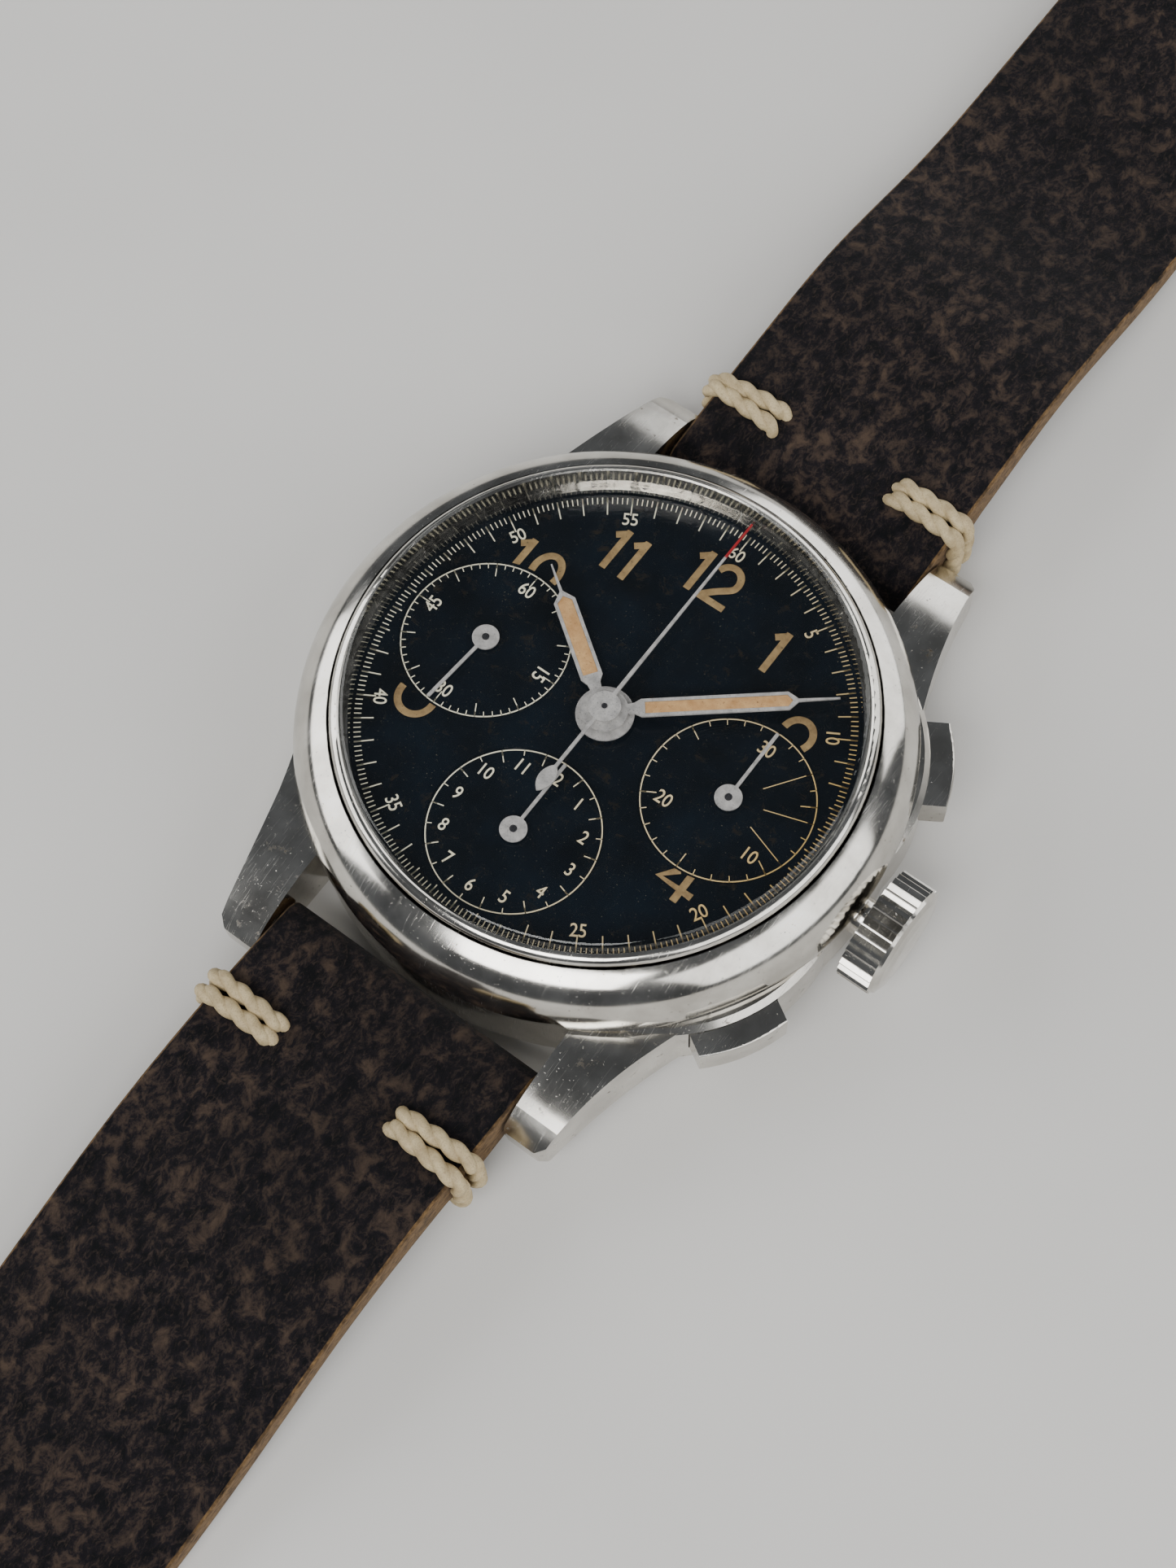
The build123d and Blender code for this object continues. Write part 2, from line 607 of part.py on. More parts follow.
def mainspring_barrel():
    """Drum with teeth round its upper rim, a lid and a hollow for the mainspring."""
    r = pitch_r(barrel_gear) - 0.35
    z1 = plate_z0 - 0.85
    z0 = bridge_z1 + 0.1
    lids = disc(r - 0.1, z0, z0 + 0.15, (0, 0)) + disc(r - 0.1, z1 - 0.2, z1, (0, 0))
    drum = tube(r, r - 0.3, z0, z1) + lids
    teeth = slab(gear_face(barrel_gear, barrel_tooth) - Circle(r - 0.1), z1 - 0.3, z1)
    return at(barrel_at, drum + teeth - disc(0.55 + slip, 0, 20))


def mainspring():
    """The coiled mainspring, drawn as its wound turns lying against the drum wall."""
    r = pitch_r(barrel_gear) - 0.75
    z0, z1 = bridge_z1 + 0.32, plate_z0 - 1.12
    turns = 5
    body = None
    for n in range(turns):
        ring = tube(r - 0.5 * n, r - 0.5 * n - 0.22, z0, z1, barrel_at)
        body = ring if body is None else body + ring
    last_r, arbor_gap = r - 0.5 * (turns - 1) - 0.1, 0.62
    tongue_at = Pos(barrel_at[0] + (last_r + arbor_gap) / 2, barrel_at[1], (z0 + z1) / 2)
    tongue = tongue_at * Box(last_r - arbor_gap, 0.16, z1 - z0)
    joins = [
        Pos(barrel_at[0] + r - 0.5 * n - 0.36, barrel_at[1], (z0 + z1) / 2) * Box(0.34, 0.3, z1 - z0)
        for n in range(turns - 1)
    ]
    return body + joins + tongue


def barrel_arbor():
    body = disc(0.55, bridge_z0 - 0.02, plate_z0 + 0.7, barrel_at)
    return body + disc(0.3, ratchet_z - 0.05, bridge_z0, barrel_at)


def ratchet_wheel():
    body = wheel(ratchet_gear, ratchet_z, barrel_at, ratchet_tooth, arms=0)
    return body - disc(0.3, 0, 20, barrel_at)


def crown_wheel():
    body = wheel(crown_gear, ratchet_z, crown_wheel_at, crown_tooth, arms=0)
    return body + disc(0.35, ratchet_z, bridge_z0 + 0.35, crown_wheel_at)


def arbor(point, z0, z1, radius=arbor_r):
    return disc(radius, z0, z1, point)


def centre_wheel():
    """Hollow centre arbor with its pinion, driven by the barrel, and the centre wheel."""
    body = wheel(centre_gear, centre_wheel_z, centre_at, centre_tooth)
    body += pinion(centre_pinion, plate_z0 - 1.25, plate_z0 - 0.7, centre_at, 0)
    body += disc(centre_r, bridge_z0 + 0.1, plate_z1 - 1.0)
    body += disc(centre_r - 0.02, plate_z1 - 1.0, minute_z - 0.3)
    return body - disc(sweep_r + slip, 0, 20)


def cannon_pinion():
    body = pinion(cannon_leaves, cannon_z, cannon_z + 0.3, centre_at, cannon_tooth)
    body += disc(cannon_r, cannon_z + 0.2, minute_z + hand_t + 0.04)
    return body - disc(centre_r - 0.02, 0, minute_z - 0.3) - disc(sweep_r + slip, 0, 20)


def minute_wheel():
    body = wheel(minute_gear, cannon_z + 0.05, minute_wheel_at, minute_tooth)
    body += pinion(minute_pinion, cannon_z + 0.2, motion_z + 0.25, minute_wheel_at, minute_pinion_tooth)
    return body - disc(0.3 + slip, 0, 20, minute_wheel_at)


def hour_wheel():
    body = wheel(hour_gear, motion_z, centre_at, hour_tooth, arms=0)
    body += disc(hour_pipe_r, motion_z, hour_z + hand_t + 0.04)
    return body - disc(cannon_r + slip, 0, 20)


def third_wheel():
    body = wheel(third_gear, third_wheel_z, third_at, third_tooth)
    body += pinion(third_pinion, third_wheel_z + 0.3, plate_z0 - 0.2, third_at, third_pinion_tooth)
    return body + arbor(third_at, bridge_z0 + 0.2, plate_z0 + 0.7)


def fourth_wheel():
    """The seconds arbor: it runs down to the chronograph's driving wheel and up to the small seconds hand."""
    body = wheel(fourth_gear, fourth_wheel_z, seconds_at, fourth_tooth)
    body += pinion(fourth_pinion, fourth_wheel_z + 0.2, third_wheel_z + 0.35, seconds_at, fourth_pinion_tooth)
    return body + disc(0.22, chrono_z - 0.1, small_z + 0.14, seconds_at)


def driving_wheel():
    body = wheel(drive_gear, chrono_z, seconds_at, 0)
    return body - disc(0.22, 0, 20, seconds_at)


def escape_wheel():
    """Club-tooth escape wheel and its pinion."""
    step = 360 / escape_teeth
    points = []
    for n in range(escape_teeth):
        a = n * step + escape_tooth
        points += [polar((0, 0), escape_r * 0.78, a + 1), polar((0, 0), escape_r * 0.97, a + 8.5),
                   polar((0, 0), escape_r, a + 12), polar((0, 0), escape_r * 0.8, a + 12.5)]
    face = crossed(make_face(Polyline(*points, close=True)), escape_r * 0.66, 0.45, 4, 0.28)
    body = slab(at(escape_at, face), escape_wheel_z, escape_wheel_z + 0.15)
    body += pinion(escape_pinion, fourth_wheel_z - 0.15, fourth_wheel_z + 0.45, escape_at, escape_pinion_tooth)
    return body + arbor(escape_at, bridge_z0 + 0.2, plate_z0 + 0.7)


def pallet_fork():
    """Anchor with two pallet arms beside the escape wheel, and a lever with two horns at the roller."""
    to_balance = math.degrees(math.atan2(balance_at[1] - pallet_at[1], balance_at[0] - pallet_at[0]))
    to_escape = math.degrees(math.atan2(escape_at[1] - pallet_at[1], escape_at[0] - pallet_at[0]))
    gap = math.hypot(pallet_at[0] - escape_at[0], pallet_at[1] - escape_at[1])
    reach = escape_r + 0.38
    swing = math.degrees(math.acos((gap**2 + reach**2 - 1.75**2) / (2 * gap * reach)))
    face = Circle(0.4)
    for side in (1, -1):
        tip = polar(escape_at, reach, to_escape + 180 + side * swing)
        face += bar_link((0, 0), (tip[0] - pallet_at[0], tip[1] - pallet_at[1]), 0.34)
    face += bar_link((0, 0), polar((0, 0), 1.75, to_balance), 0.3)
    fork = Pos(2.0, 0) * Rectangle(0.45, 0.75) - Pos(2.12, 0) * Rectangle(0.4, 0.32)
    face += Rot(0, 0, to_balance) * fork
    body = slab(at(pallet_at, face), escape_wheel_z, escape_wheel_z + 0.2)
    return body + arbor(pallet_at, escape_wheel_z - 0.5, plate_z0 + 0.7, 0.12)


balance_r = 4.15


def balance_wheel():
    """Screw balance: a rim on two arms, timing screws, staff, and a roller with its impulse pin."""
    rim = Circle(balance_r) - Circle(balance_r - 0.42)
    face = rim + Rectangle(2 * balance_r - 0.3, 0.6) + Circle(0.6)
    body = slab(at(balance_at, face), balance_z, balance_z + 0.35)
    body += arbor(balance_at, bridge_z0 + 0.2, plate_z0 + 0.7, 0.12)
    body += disc(0.6, escape_wheel_z - 0.1, escape_wheel_z + 0.05, balance_at)
    body += disc(0.09, escape_wheel_z - 0.05, escape_wheel_z + 0.25, polar(balance_at, 0.5, 0))
    screws = [
        Pos(balance_at[0], balance_at[1], balance_z + 0.175) * Rot(0, 0, 15 + 30 * n)
        * Pos(balance_r + 0.12, 0, 0) * Rot(0, 90, 0) * Cylinder(0.15, 0.3)
        for n in range(12)
    ]
    return body + screws


def hairspring():
    """Flat spiral from the collet on the staff to the stud, as a chain of half turns."""
    z0 = balance_z - 0.3
    pieces = []
    r = 0.42
    width, rise = 0.07, 0.15
    for n in range(12):
        start = 180 * (n % 2)
        grown = r + rise
        mid = ((r - grown) / 2 if n % 2 == 0 else (grown - r) / 2, 0)
        radius = (r + grown) / 2
        ring = Circle(radius + width / 2) - Circle(radius - width / 2)
        half = ring & (Pos(0, (1 if start == 0 else -1) * 10) * Rectangle(40, 20.0))
        pieces.append(Pos(*mid) * half)
        r = grown
    face = pieces[0]
    for piece in pieces[1:]:
        face += piece
    face += Circle(0.45) - Circle(0.17)
    return slab(at(balance_at, face), z0, z0 + 0.14)


# ---------------------------------------------------------------- chronograph work
def chronograph_runner():
    """Sweep-seconds wheel and its heart cam, on the long arbor through the hollow centre arbor."""
    body = wheel(drive_gear, chrono_z, centre_at, runner_tooth)
    body += slab(heart_face(1.15, 0.5, -90), cam_z, cam_z + 0.3)
    return body + disc(sweep_r, cam_z - 0.25, sweep_z + 0.16)


def counter_runner(point, gear, z_wheel, z0):
    """A counter's wheel and arbor; the arbor's upper end carries the register hand."""
    return wheel(gear, z_wheel, point) + disc(0.22, z0, small_z + 0.14, point)


def minute_counter_runner():
    body = counter_runner(minutes_at, minute_counter_gear, chrono_z, cam_z - 0.25)
    return body + slab(at(minutes_at, heart_face(1.15, 0.5, -90)), cam_z, cam_z + 0.3)


def hour_counter_runner():
    return counter_runner(hours_at, hour_counter_gear, fourth_wheel_z + 0.2, bridge_z0 + 0.2)


def coupling_wheel():
    body = wheel(coupling_gear, chrono_z, coupling_at, coupling_tooth)
    return body + arbor(coupling_at, chrono_z - 0.55, chrono_z + 0.45, 0.12)


def clutch_lever():
    """Lever that swings about the seconds arbor and carries the coupling wheel into mesh."""
    face = at(seconds_at, Circle(0.75)) + bar_link(seconds_at, coupling_at, 0.75)
    beak = turned((1.2, 9.6), seconds_at, 0)
    face += bar_link(coupling_at, beak, 0.6)
    face = face - at(seconds_at, Circle(0.22 + slip)) - at(coupling_at, Circle(0.12 + slip))
    return slab(face, chrono_z - 0.35, chrono_z - 0.1)


def column_wheel():
    """Six columns standing on a twelve-tooth ratchet."""
    ratchet = slab(at(column_at, gear_face((12, 0.3), 0)), chrono_z + 0.35, chrono_z + 0.55)
    body = ratchet + disc(1.3, chrono_z + 0.2, chrono_z + 0.4, column_at)
    columns = [
        at(column_at, Rot(0, 0, 60 * n) * Pos(0.9, 0)) * slab(Rectangle(0.6, 0.5), chrono_z - 0.4, chrono_z + 0.3)
        for n in range(6)
    ]
    return body + columns - disc(0.3 + slip, 0, 20, column_at)


tab_t = 0.4
tab_r = stem_end - 0.17 - tab_t / 2    # middle of the tab that a pusher's stem pushes


def push_tab(sign, z0):
    """Upright tab of a chronograph lever, in front of a pusher's stem."""
    z1 = stem_z + 0.4
    return pusher_place(sign) * Pos(tab_r, 0, (z0 + z1) / 2) * Box(tab_t, 1.2, z1 - z0)


def operating_lever():
    """Start lever: its upright tab is pushed by the start pusher, its hook stands by the column wheel."""
    contact = polar((0, 0), tab_r, pusher_angle)
    hook = polar(column_at, 2.35, 8)
    z0 = chrono_z + 0.7
    face = bar_link(lever_pivot, contact, 1.1) + bar_link(lever_pivot, hook, 0.8)
    return slab(face - at(lever_pivot, Circle(0.35 + slip)), z0, z0 + 0.25) + push_tab(1, z0)


def reset_hammer():
    """Reset hammer: its two arms each end in a flat face in front of a heart cam."""
    contact = polar((0, 0), tab_r, -pusher_angle)
    elbow = (8.6, -2.55)
    z0 = cam_z + 0.02
    face = bar_link(hammer_pivot, contact, 1.0) + bar_link(hammer_pivot, elbow, 0.9)
    face += bar_link(elbow, (4.4, -4.0), 0.8) + bar_link((4.4, -4.0), (0.2, -4.25), 0.8)
    return slab(face - at(hammer_pivot, Circle(0.35 + slip)), z0, z0 + 0.26) + push_tab(-1, z0)


def brake_lever():
    """Brake that holds the sweep wheel while the chronograph is stopped."""
    pad = polar(centre_at, pitch_r(drive_gear) + 0.42, 236)
    face = at(brake_pivot, Circle(0.6)) + bar_link(brake_pivot, pad, 0.6) + bar_link(brake_pivot, (-6.6, -7.9), 0.55)
    return slab(face - at(brake_pivot, Circle(0.3 + slip)), chrono_z - 0.02, chrono_z + 0.22)


def chronograph_bridge():
    """Straight bridge over the sweep runner and the minute runner, on two posts."""
    posts = [polar((0, 0), movement_r - 1.6, 196), polar((0, 0), movement_r - 1.6, 352)]
    spine = [posts[0], (-3.2, 0.9), (0, 0), minutes_at, posts[1]]
    links = [bar_link(a, b, 1.6) for a, b in zip(spine, spine[1:])]
    face = links[0] + links[1:]
    z1 = cam_z - 0.12
    body = slab(face, z1 - 0.35, z1)
    for point in posts:
        body += disc(0.7, z1 - 0.2, bridge_z0, point)
    for point, radius in ((centre_at, sweep_r), (minutes_at, 0.22)):
        body -= disc(radius + slip, 0, z1 + 1, point)
    return body


def bridge_screws():
    """Slotted screws under the bridges, one at each pillar."""
    screws = []
    for point in pillar_spots()["barrel"] + pillar_spots()["train"]:
        head = disc(0.75, bridge_z0 - 0.3, bridge_z0, point)
        head -= Pos(point[0], point[1], bridge_z0 - 0.3) * Rot(0, 0, 37) * Box(2, 0.2, 0.24)
        screws.append(head.solid())
    return Compound(children=screws)


# ---------------------------------------------------------------- strap and buckle
bar_loop_r = bar_r + 0.85             # outside of the strap's loop round a bar
flat_from = 34.0                      # how far past the bar the strap lies level again
strap_w = lug_gap - 2 * side_gap
keeper_t = 0.9                        # leather of the keepers
keeper_w = 4.6
fold_l = 15.0                         # the strap's end, folded under and sewn, behind the buckle
short_lift = keeper_t + 0.25          # the short half lies this high, on its keepers


def strap_side(length, lift):
    """Side outline of one strap half in Y from the bar: a loop round the bar, an arch, then level."""
    top_z = bar_z + bar_loop_r
    crest = lift + strap_t + 1.15 * arch_h
    upper = Spline(
        (0, top_z), (7, top_z + 0.25 * arch_h), (16, max(crest, top_z)), (26, lift + strap_t + 0.3 * arch_h),
        (flat_from, lift + strap_t), tangents=((1, 0.12), (1, 0)),
    )
    lower = Spline(
        (flat_from, lift), (26, lift + 0.28 * arch_h), (16, max(crest, top_z) - strap_t), (7, top_z - strap_t - 0.2),
        tangents=((-1, 0), (-1, -0.1)),
    )
    end = Polyline((flat_from, lift + strap_t), (length, lift + strap_t), (length, lift), (flat_from, lift))
    tail = Polyline((7, top_z - strap_t - 0.2), (5.6, top_z - strap_t - 1.0), (0, bar_z - bar_loop_r))
    nose = ThreePointArc((0, bar_z - bar_loop_r), (-bar_loop_r, bar_z), (0, top_z))
    return make_face([upper, end, lower, tail, nose])


def strap_half(length, lift):
    face = strap_side(length, lift) - Pos(0, bar_z) * Circle(bar_r + slip)
    return Pos(-strap_w / 2, bar_y, 0) * extrude(Plane.YZ * face, strap_w)


hole_pitch = 6.5
hole_count = 7
hole_r = 1.0
tip_l = 13.0


def strap_long_half():
    """The 6 o'clock half, with a row of round holes and a pointed tip."""
    body = strap_half(strap_long, 0)
    end = bar_y + strap_long
    side = strap_w / 2 + 0.01
    corner = Polyline((side, end - tip_l), (side, end + 1), (-side, end + 1), (-side, end - tip_l))
    point = ThreePointArc((-side, end - tip_l), (0, end - 0.01), (side, end - tip_l))
    body -= slab(make_face([corner, point]), -1, strap_t + 1)
    for n in range(hole_count):
        body -= disc(hole_r, -1, strap_t + 1, (0, end - tip_l - 12 - hole_pitch * n))
    return mirror(body, Plane.XZ)


buckle_bar_r = 0.7
buckle_loop_r = buckle_bar_r + 0.9
buckle_y = bar_y + strap_short
buckle_z = buckle_loop_r + 0.1
buckle_in_w = 16.2                     # clear width of the buckle for the strap's tip
strap_end_w = buckle_in_w - 0.4
tongue_w = 1.4
eye_w = 1.8
tongue_slot_w = eye_w + 0.8
buckle_l = 9.5
frame_w = 1.5
frame_t = 1.9


def strap_short_half():
    """The 12 o'clock half: its end folds round the buckle's bar and is slotted for the tongue."""
    body = strap_half(strap_short, short_lift)
    fold = Pos(0, buckle_y - fold_l / 2, (0.1 + short_lift) / 2 + 0.2) * Box(strap_w, fold_l, short_lift + 0.3)
    loop = rod_x(buckle_loop_r, -strap_end_w / 2, strap_end_w / 2, buckle_y, buckle_z)
    body = body + fold + loop
    trim_w = (strap_w - strap_end_w) / 2
    for s in (1, -1):
        body -= Pos(s * (strap_end_w + trim_w + 1) / 2, buckle_y, 2.5) * Box(trim_w + 1, 5.0, 7)
    body -= rod_x(buckle_bar_r + slip, -20, 20, buckle_y, buckle_z)
    return body - Pos(0, buckle_y + 0.4, 2.5) * Box(tongue_slot_w, 6.0, 7)


def buckle_frame():
    """Steel buckle: two side arms and a front rail, hung on its bar."""
    outer = buckle_in_w + 2 * frame_w
    y0, y1 = buckle_y - 1.1, buckle_y + buckle_l
    plan = Pos(0, (y0 + y1) / 2) * RectangleRounded(outer, y1 - y0, 0.7)
    plan -= Pos(0, (y0 + y1) / 2 - frame_w) * Rectangle(buckle_in_w, y1 - y0)
    body = slab(plan, buckle_z - frame_t / 2, buckle_z + frame_t / 2)
    return body + rod_x(buckle_bar_r, -buckle_in_w / 2 - 0.5, buckle_in_w / 2 + 0.5, buckle_y, buckle_z)


def buckle_tongue():
    """Round-ended tongue that turns on the buckle's bar and rests on the front rail."""
    eye = rod_x(buckle_bar_r + slip + 0.5, -eye_w / 2, eye_w / 2, buckle_y, buckle_z)
    length, thick = buckle_l - 0.2, 0.6
    arm_z = buckle_z + frame_t / 2 + 0.02 + thick / 2
    arm = Pos(0, buckle_y + length / 2, arm_z) * Box(tongue_w, length, thick)
    arm = fillet(arm.edges().filter_by(Axis.Z).group_by(Axis.Y)[-1], 0.6)
    neck = Pos(0, buckle_y, buckle_z + 1.1) * Box(tongue_w, 1.2, 0.9)
    return (eye + arm + neck) - rod_x(buckle_bar_r + slip, -2, 2, buckle_y, buckle_z)


keeper_gap = 0.2                       # between a keeper and the strap's edges
fixed_keeper_y = buckle_y - 9.0
sliding_keeper_y = buckle_y - fold_l - 4.6


def keeper_band(y, z0):
    """A leather band with room over the strap for the other half's tip."""
    inner_w = strap_w + 2 * keeper_gap
    z1 = short_lift + 2 * strap_t + 0.7
    outer = Pos(0, y, (z0 + z1 + keeper_t) / 2) * Box(inner_w + 2 * keeper_t, keeper_w, z1 + keeper_t - z0)
    return fillet(outer.edges().filter_by(Axis.Y).group_by(Axis.Z)[-1], 1.2), z1, inner_w


def sliding_keeper():
    """The loose keeper, a closed band round the short half."""
    outer, z1, inner_w = keeper_band(sliding_keeper_y, 0.05)
    z0 = short_lift - 0.2
    return outer - Pos(0, sliding_keeper_y, (z0 + z1) / 2) * Box(inner_w, keeper_w + 1, z1 - z0)


def fixed_keeper():
    """The sewn keeper: a bridge over the strap whose feet are sewn to the fold's edges."""
    outer, z1, inner_w = keeper_band(fixed_keeper_y, 0.1)
    body = outer - Pos(0, fixed_keeper_y, (z1 - 1) / 2) * Box(inner_w, keeper_w + 1, z1 + 1)
    feet = [
        Pos(s * (strap_w / 2 + keeper_gap / 2), fixed_keeper_y, 0.65) * Box(keeper_gap + 0.2, keeper_w - 0.6, 1.0)
        for s in (1, -1)
    ]
    return (body + feet) - Pos(0, fixed_keeper_y, 0.65) * Box(strap_w, keeper_w, 2)


# ---------------------------------------------------------------- tooth phases: every pair is in mesh at rest
centre_tooth = 0.0
barrel_tooth = phase_on(centre_pinion, 0, centre_at, barrel_gear, barrel_at)
third_pinion_tooth = phase_on(centre_gear, centre_tooth, centre_at, third_pinion, third_at)
third_tooth = 0.0
fourth_pinion_tooth = phase_on(third_gear, third_tooth, third_at, fourth_pinion, seconds_at)
fourth_tooth = 0.0
escape_pinion_tooth = phase_on(fourth_gear, fourth_tooth, seconds_at, escape_pinion, escape_at)
escape_tooth = 0.0
cannon_tooth = 0.0
minute_tooth = phase_on(cannon_leaves, cannon_tooth, centre_at, minute_gear, minute_wheel_at)
minute_pinion_tooth = 0.0
hour_tooth = phase_on(minute_pinion, minute_pinion_tooth, minute_wheel_at, hour_gear, centre_at)
ratchet_tooth = 0.0
crown_tooth = phase_on(ratchet_gear, ratchet_tooth, barrel_at, crown_gear, crown_wheel_at)
coupling_tooth = phase_on(drive_gear, 0, seconds_at, coupling_gear, coupling_at)
runner_tooth = phase_on(coupling_gear, coupling_tooth - clutch_open, coupling_on, drive_gear, centre_at)


def main():
    save(case_middle(), "case_middle")
    save(bezel(), "bezel")
    save(crystal(), "crystal")
    save(case_back(), "case_back")
    save(case_ring(), "movement_ring")
    save(crown(), "crown")
    save(crown_tube(), "crown_tube")
    save(winding_stem(), "winding_stem")
    save(winding_pinion(), "winding_pinion")
    save(setting_lever(), "setting_lever")
    save(pusher(1), "start_pusher")
    save(pusher(-1), "reset_pusher")
    save(spring_bars(), "spring_bars")
    save(dial(), "dial")
    hour = pencil_hand(hour_length, hour_w, hour_neck, boss_hour, hour_pipe_r, hour_z, hour_heading)
    minute = pencil_hand(minute_length, minute_w, minute_neck, boss_minute, cannon_r, minute_z, minute_heading)
    save(hour, "hour_hand")
    save(minute, "minute_hand")
    save(sweep_hand(), "sweep_seconds_hand")
    save(small_hand(seconds_at, seconds_heading, register_r - 0.2), "running_seconds_hand")
    save(small_hand(minutes_at, 90.0, register_r - 0.3), "minute_counter_hand")
    save(small_hand(hours_at, 90.0, register_r - 0.3), "hour_counter_hand")
    save(main_plate(), "main_plate")
    save(barrel_bridge(), "barrel_bridge")
    save(train_bridge(), "train_bridge")
    save(balance_cock(), "balance_cock")
    save(pallet_bridge(), "pallet_bridge")
    save(mainspring_barrel(), "mainspring_barrel")
    save(mainspring(), "mainspring")
    save(barrel_arbor(), "barrel_arbor")
    save(ratchet_wheel(), "ratchet_wheel")
    save(crown_wheel(), "crown_wheel")
    save(centre_wheel(), "centre_wheel")
    save(cannon_pinion(), "cannon_pinion")
    save(minute_wheel(), "minute_wheel")
    save(hour_wheel(), "hour_wheel")
    save(third_wheel(), "third_wheel")
    save(fourth_wheel(), "fourth_wheel")
    save(driving_wheel(), "driving_wheel")
    save(escape_wheel(), "escape_wheel")
    save(pallet_fork(), "pallet_fork")
    save(balance_wheel(), "balance_wheel")
    save(hairspring(), "hairspring")
    save(chronograph_runner(), "chronograph_runner")
    save(minute_counter_runner(), "minute_counter_runner")
    save(hour_counter_runner(), "hour_counter_runner")
    save(coupling_wheel(), "coupling_wheel")
    save(clutch_lever(), "clutch_lever")
    save(column_wheel(), "column_wheel")
    save(operating_lever(), "operating_lever")
    save(reset_hammer(), "reset_hammer")
    save(brake_lever(), "brake_lever")
    save(chronograph_bridge(), "chronograph_bridge")
    save(bridge_screws(), "bridge_screws")
    save(strap_short_half(), "strap_12")
    save(strap_long_half(), "strap_6")
    save(fixed_keeper(), "fixed_keeper")
    save(sliding_keeper(), "sliding_keeper")
    save(buckle_frame(), "buckle_frame")
    save(buckle_tongue(), "buckle_tongue")


main()
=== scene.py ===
import bpy
import bmesh
import math
import random
from mathutils import Matrix, Vector
from mathutils.bvhtree import BVHTree


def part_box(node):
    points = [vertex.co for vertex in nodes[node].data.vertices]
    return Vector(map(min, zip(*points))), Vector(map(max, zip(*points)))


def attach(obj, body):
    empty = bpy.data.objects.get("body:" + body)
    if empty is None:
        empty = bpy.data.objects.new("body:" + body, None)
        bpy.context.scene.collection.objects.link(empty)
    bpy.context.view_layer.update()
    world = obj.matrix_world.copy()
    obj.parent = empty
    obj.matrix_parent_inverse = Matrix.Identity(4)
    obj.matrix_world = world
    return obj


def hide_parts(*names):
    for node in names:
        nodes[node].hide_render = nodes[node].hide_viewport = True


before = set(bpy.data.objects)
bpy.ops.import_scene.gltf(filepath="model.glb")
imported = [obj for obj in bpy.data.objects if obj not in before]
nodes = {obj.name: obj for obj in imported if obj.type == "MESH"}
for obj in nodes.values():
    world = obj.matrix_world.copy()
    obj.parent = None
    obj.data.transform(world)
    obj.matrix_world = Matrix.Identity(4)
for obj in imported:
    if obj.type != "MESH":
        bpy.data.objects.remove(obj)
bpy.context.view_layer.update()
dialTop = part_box("dial")[1][2]
mm = 0.001


# ---- small helpers

def linear(hexColour):
    # sRGB hex to the linear values that shaders work in
    channels = [int(hexColour[i:i + 2], 16) / 255 for i in (0, 2, 4)]
    return [c / 12.92 if c <= 0.04045 else ((c + 0.055) / 1.055) ** 2.4 for c in channels] + [1.0]


def addNode(tree, kind, settings, out=0):
    # one shader node: its own settings, its inputs' values or links, its colour stops; gives back one output
    node = tree.nodes.new("ShaderNode" + kind)
    for key, value in settings.items():
        if key == "stops":
            marks = node.color_ramp.elements
            while len(marks) < len(value):
                marks.new(0.5)
            for mark, (place, colour) in zip(marks, value):
                mark.position = place
                mark.color = linear(colour)
        elif isinstance(key, str) and hasattr(node, key):
            setattr(node, key, value)
        elif isinstance(value, bpy.types.NodeSocket):
            tree.links.new(value, node.inputs[key])
        else:
            node.inputs[key].default_value = linear(value) if isinstance(value, str) else value
    return node.outputs[out]


def newMaterial(name):
    material = bpy.data.materials.new(name)
    material.use_nodes = True
    tree = material.node_tree
    shader = next(n for n in tree.nodes if n.type == "BSDF_PRINCIPLED")
    return material, tree, shader


def noise(tree, place, sizeMm, detail=3.0, roughness=0.55, stretch=(1, 1, 1), turn=(0, 0, 0), distortion=0.0):
    # noise whose blobs are about sizeMm across
    mapping = addNode(tree, "Mapping", {"Vector": place, "Scale": stretch, "Rotation": turn})
    settings = {
        "Scale": 1 / (sizeMm * mm), "Detail": detail, "Roughness": roughness, "Distortion": distortion}
    return addNode(tree, "TexNoise", {"Vector": mapping, **settings}, "Fac")


def scratches(tree, place, spacingMm, seedTurns):
    # fine wear lines: noise drawn out long in several directions, only its crests kept
    total = None
    for turn in seedTurns:
        line = noise(tree, place, spacingMm, 1.0, 0.5, (1, 0.02, 0.02), turn)
        crest = addNode(tree, "MapRange", {0: line, 1: 0.69, 2: 0.76})
        total = crest if total is None else addNode(
            tree, "Math", {"operation": "MAXIMUM", 0: total, 1: crest})
    return total


# ---- metals

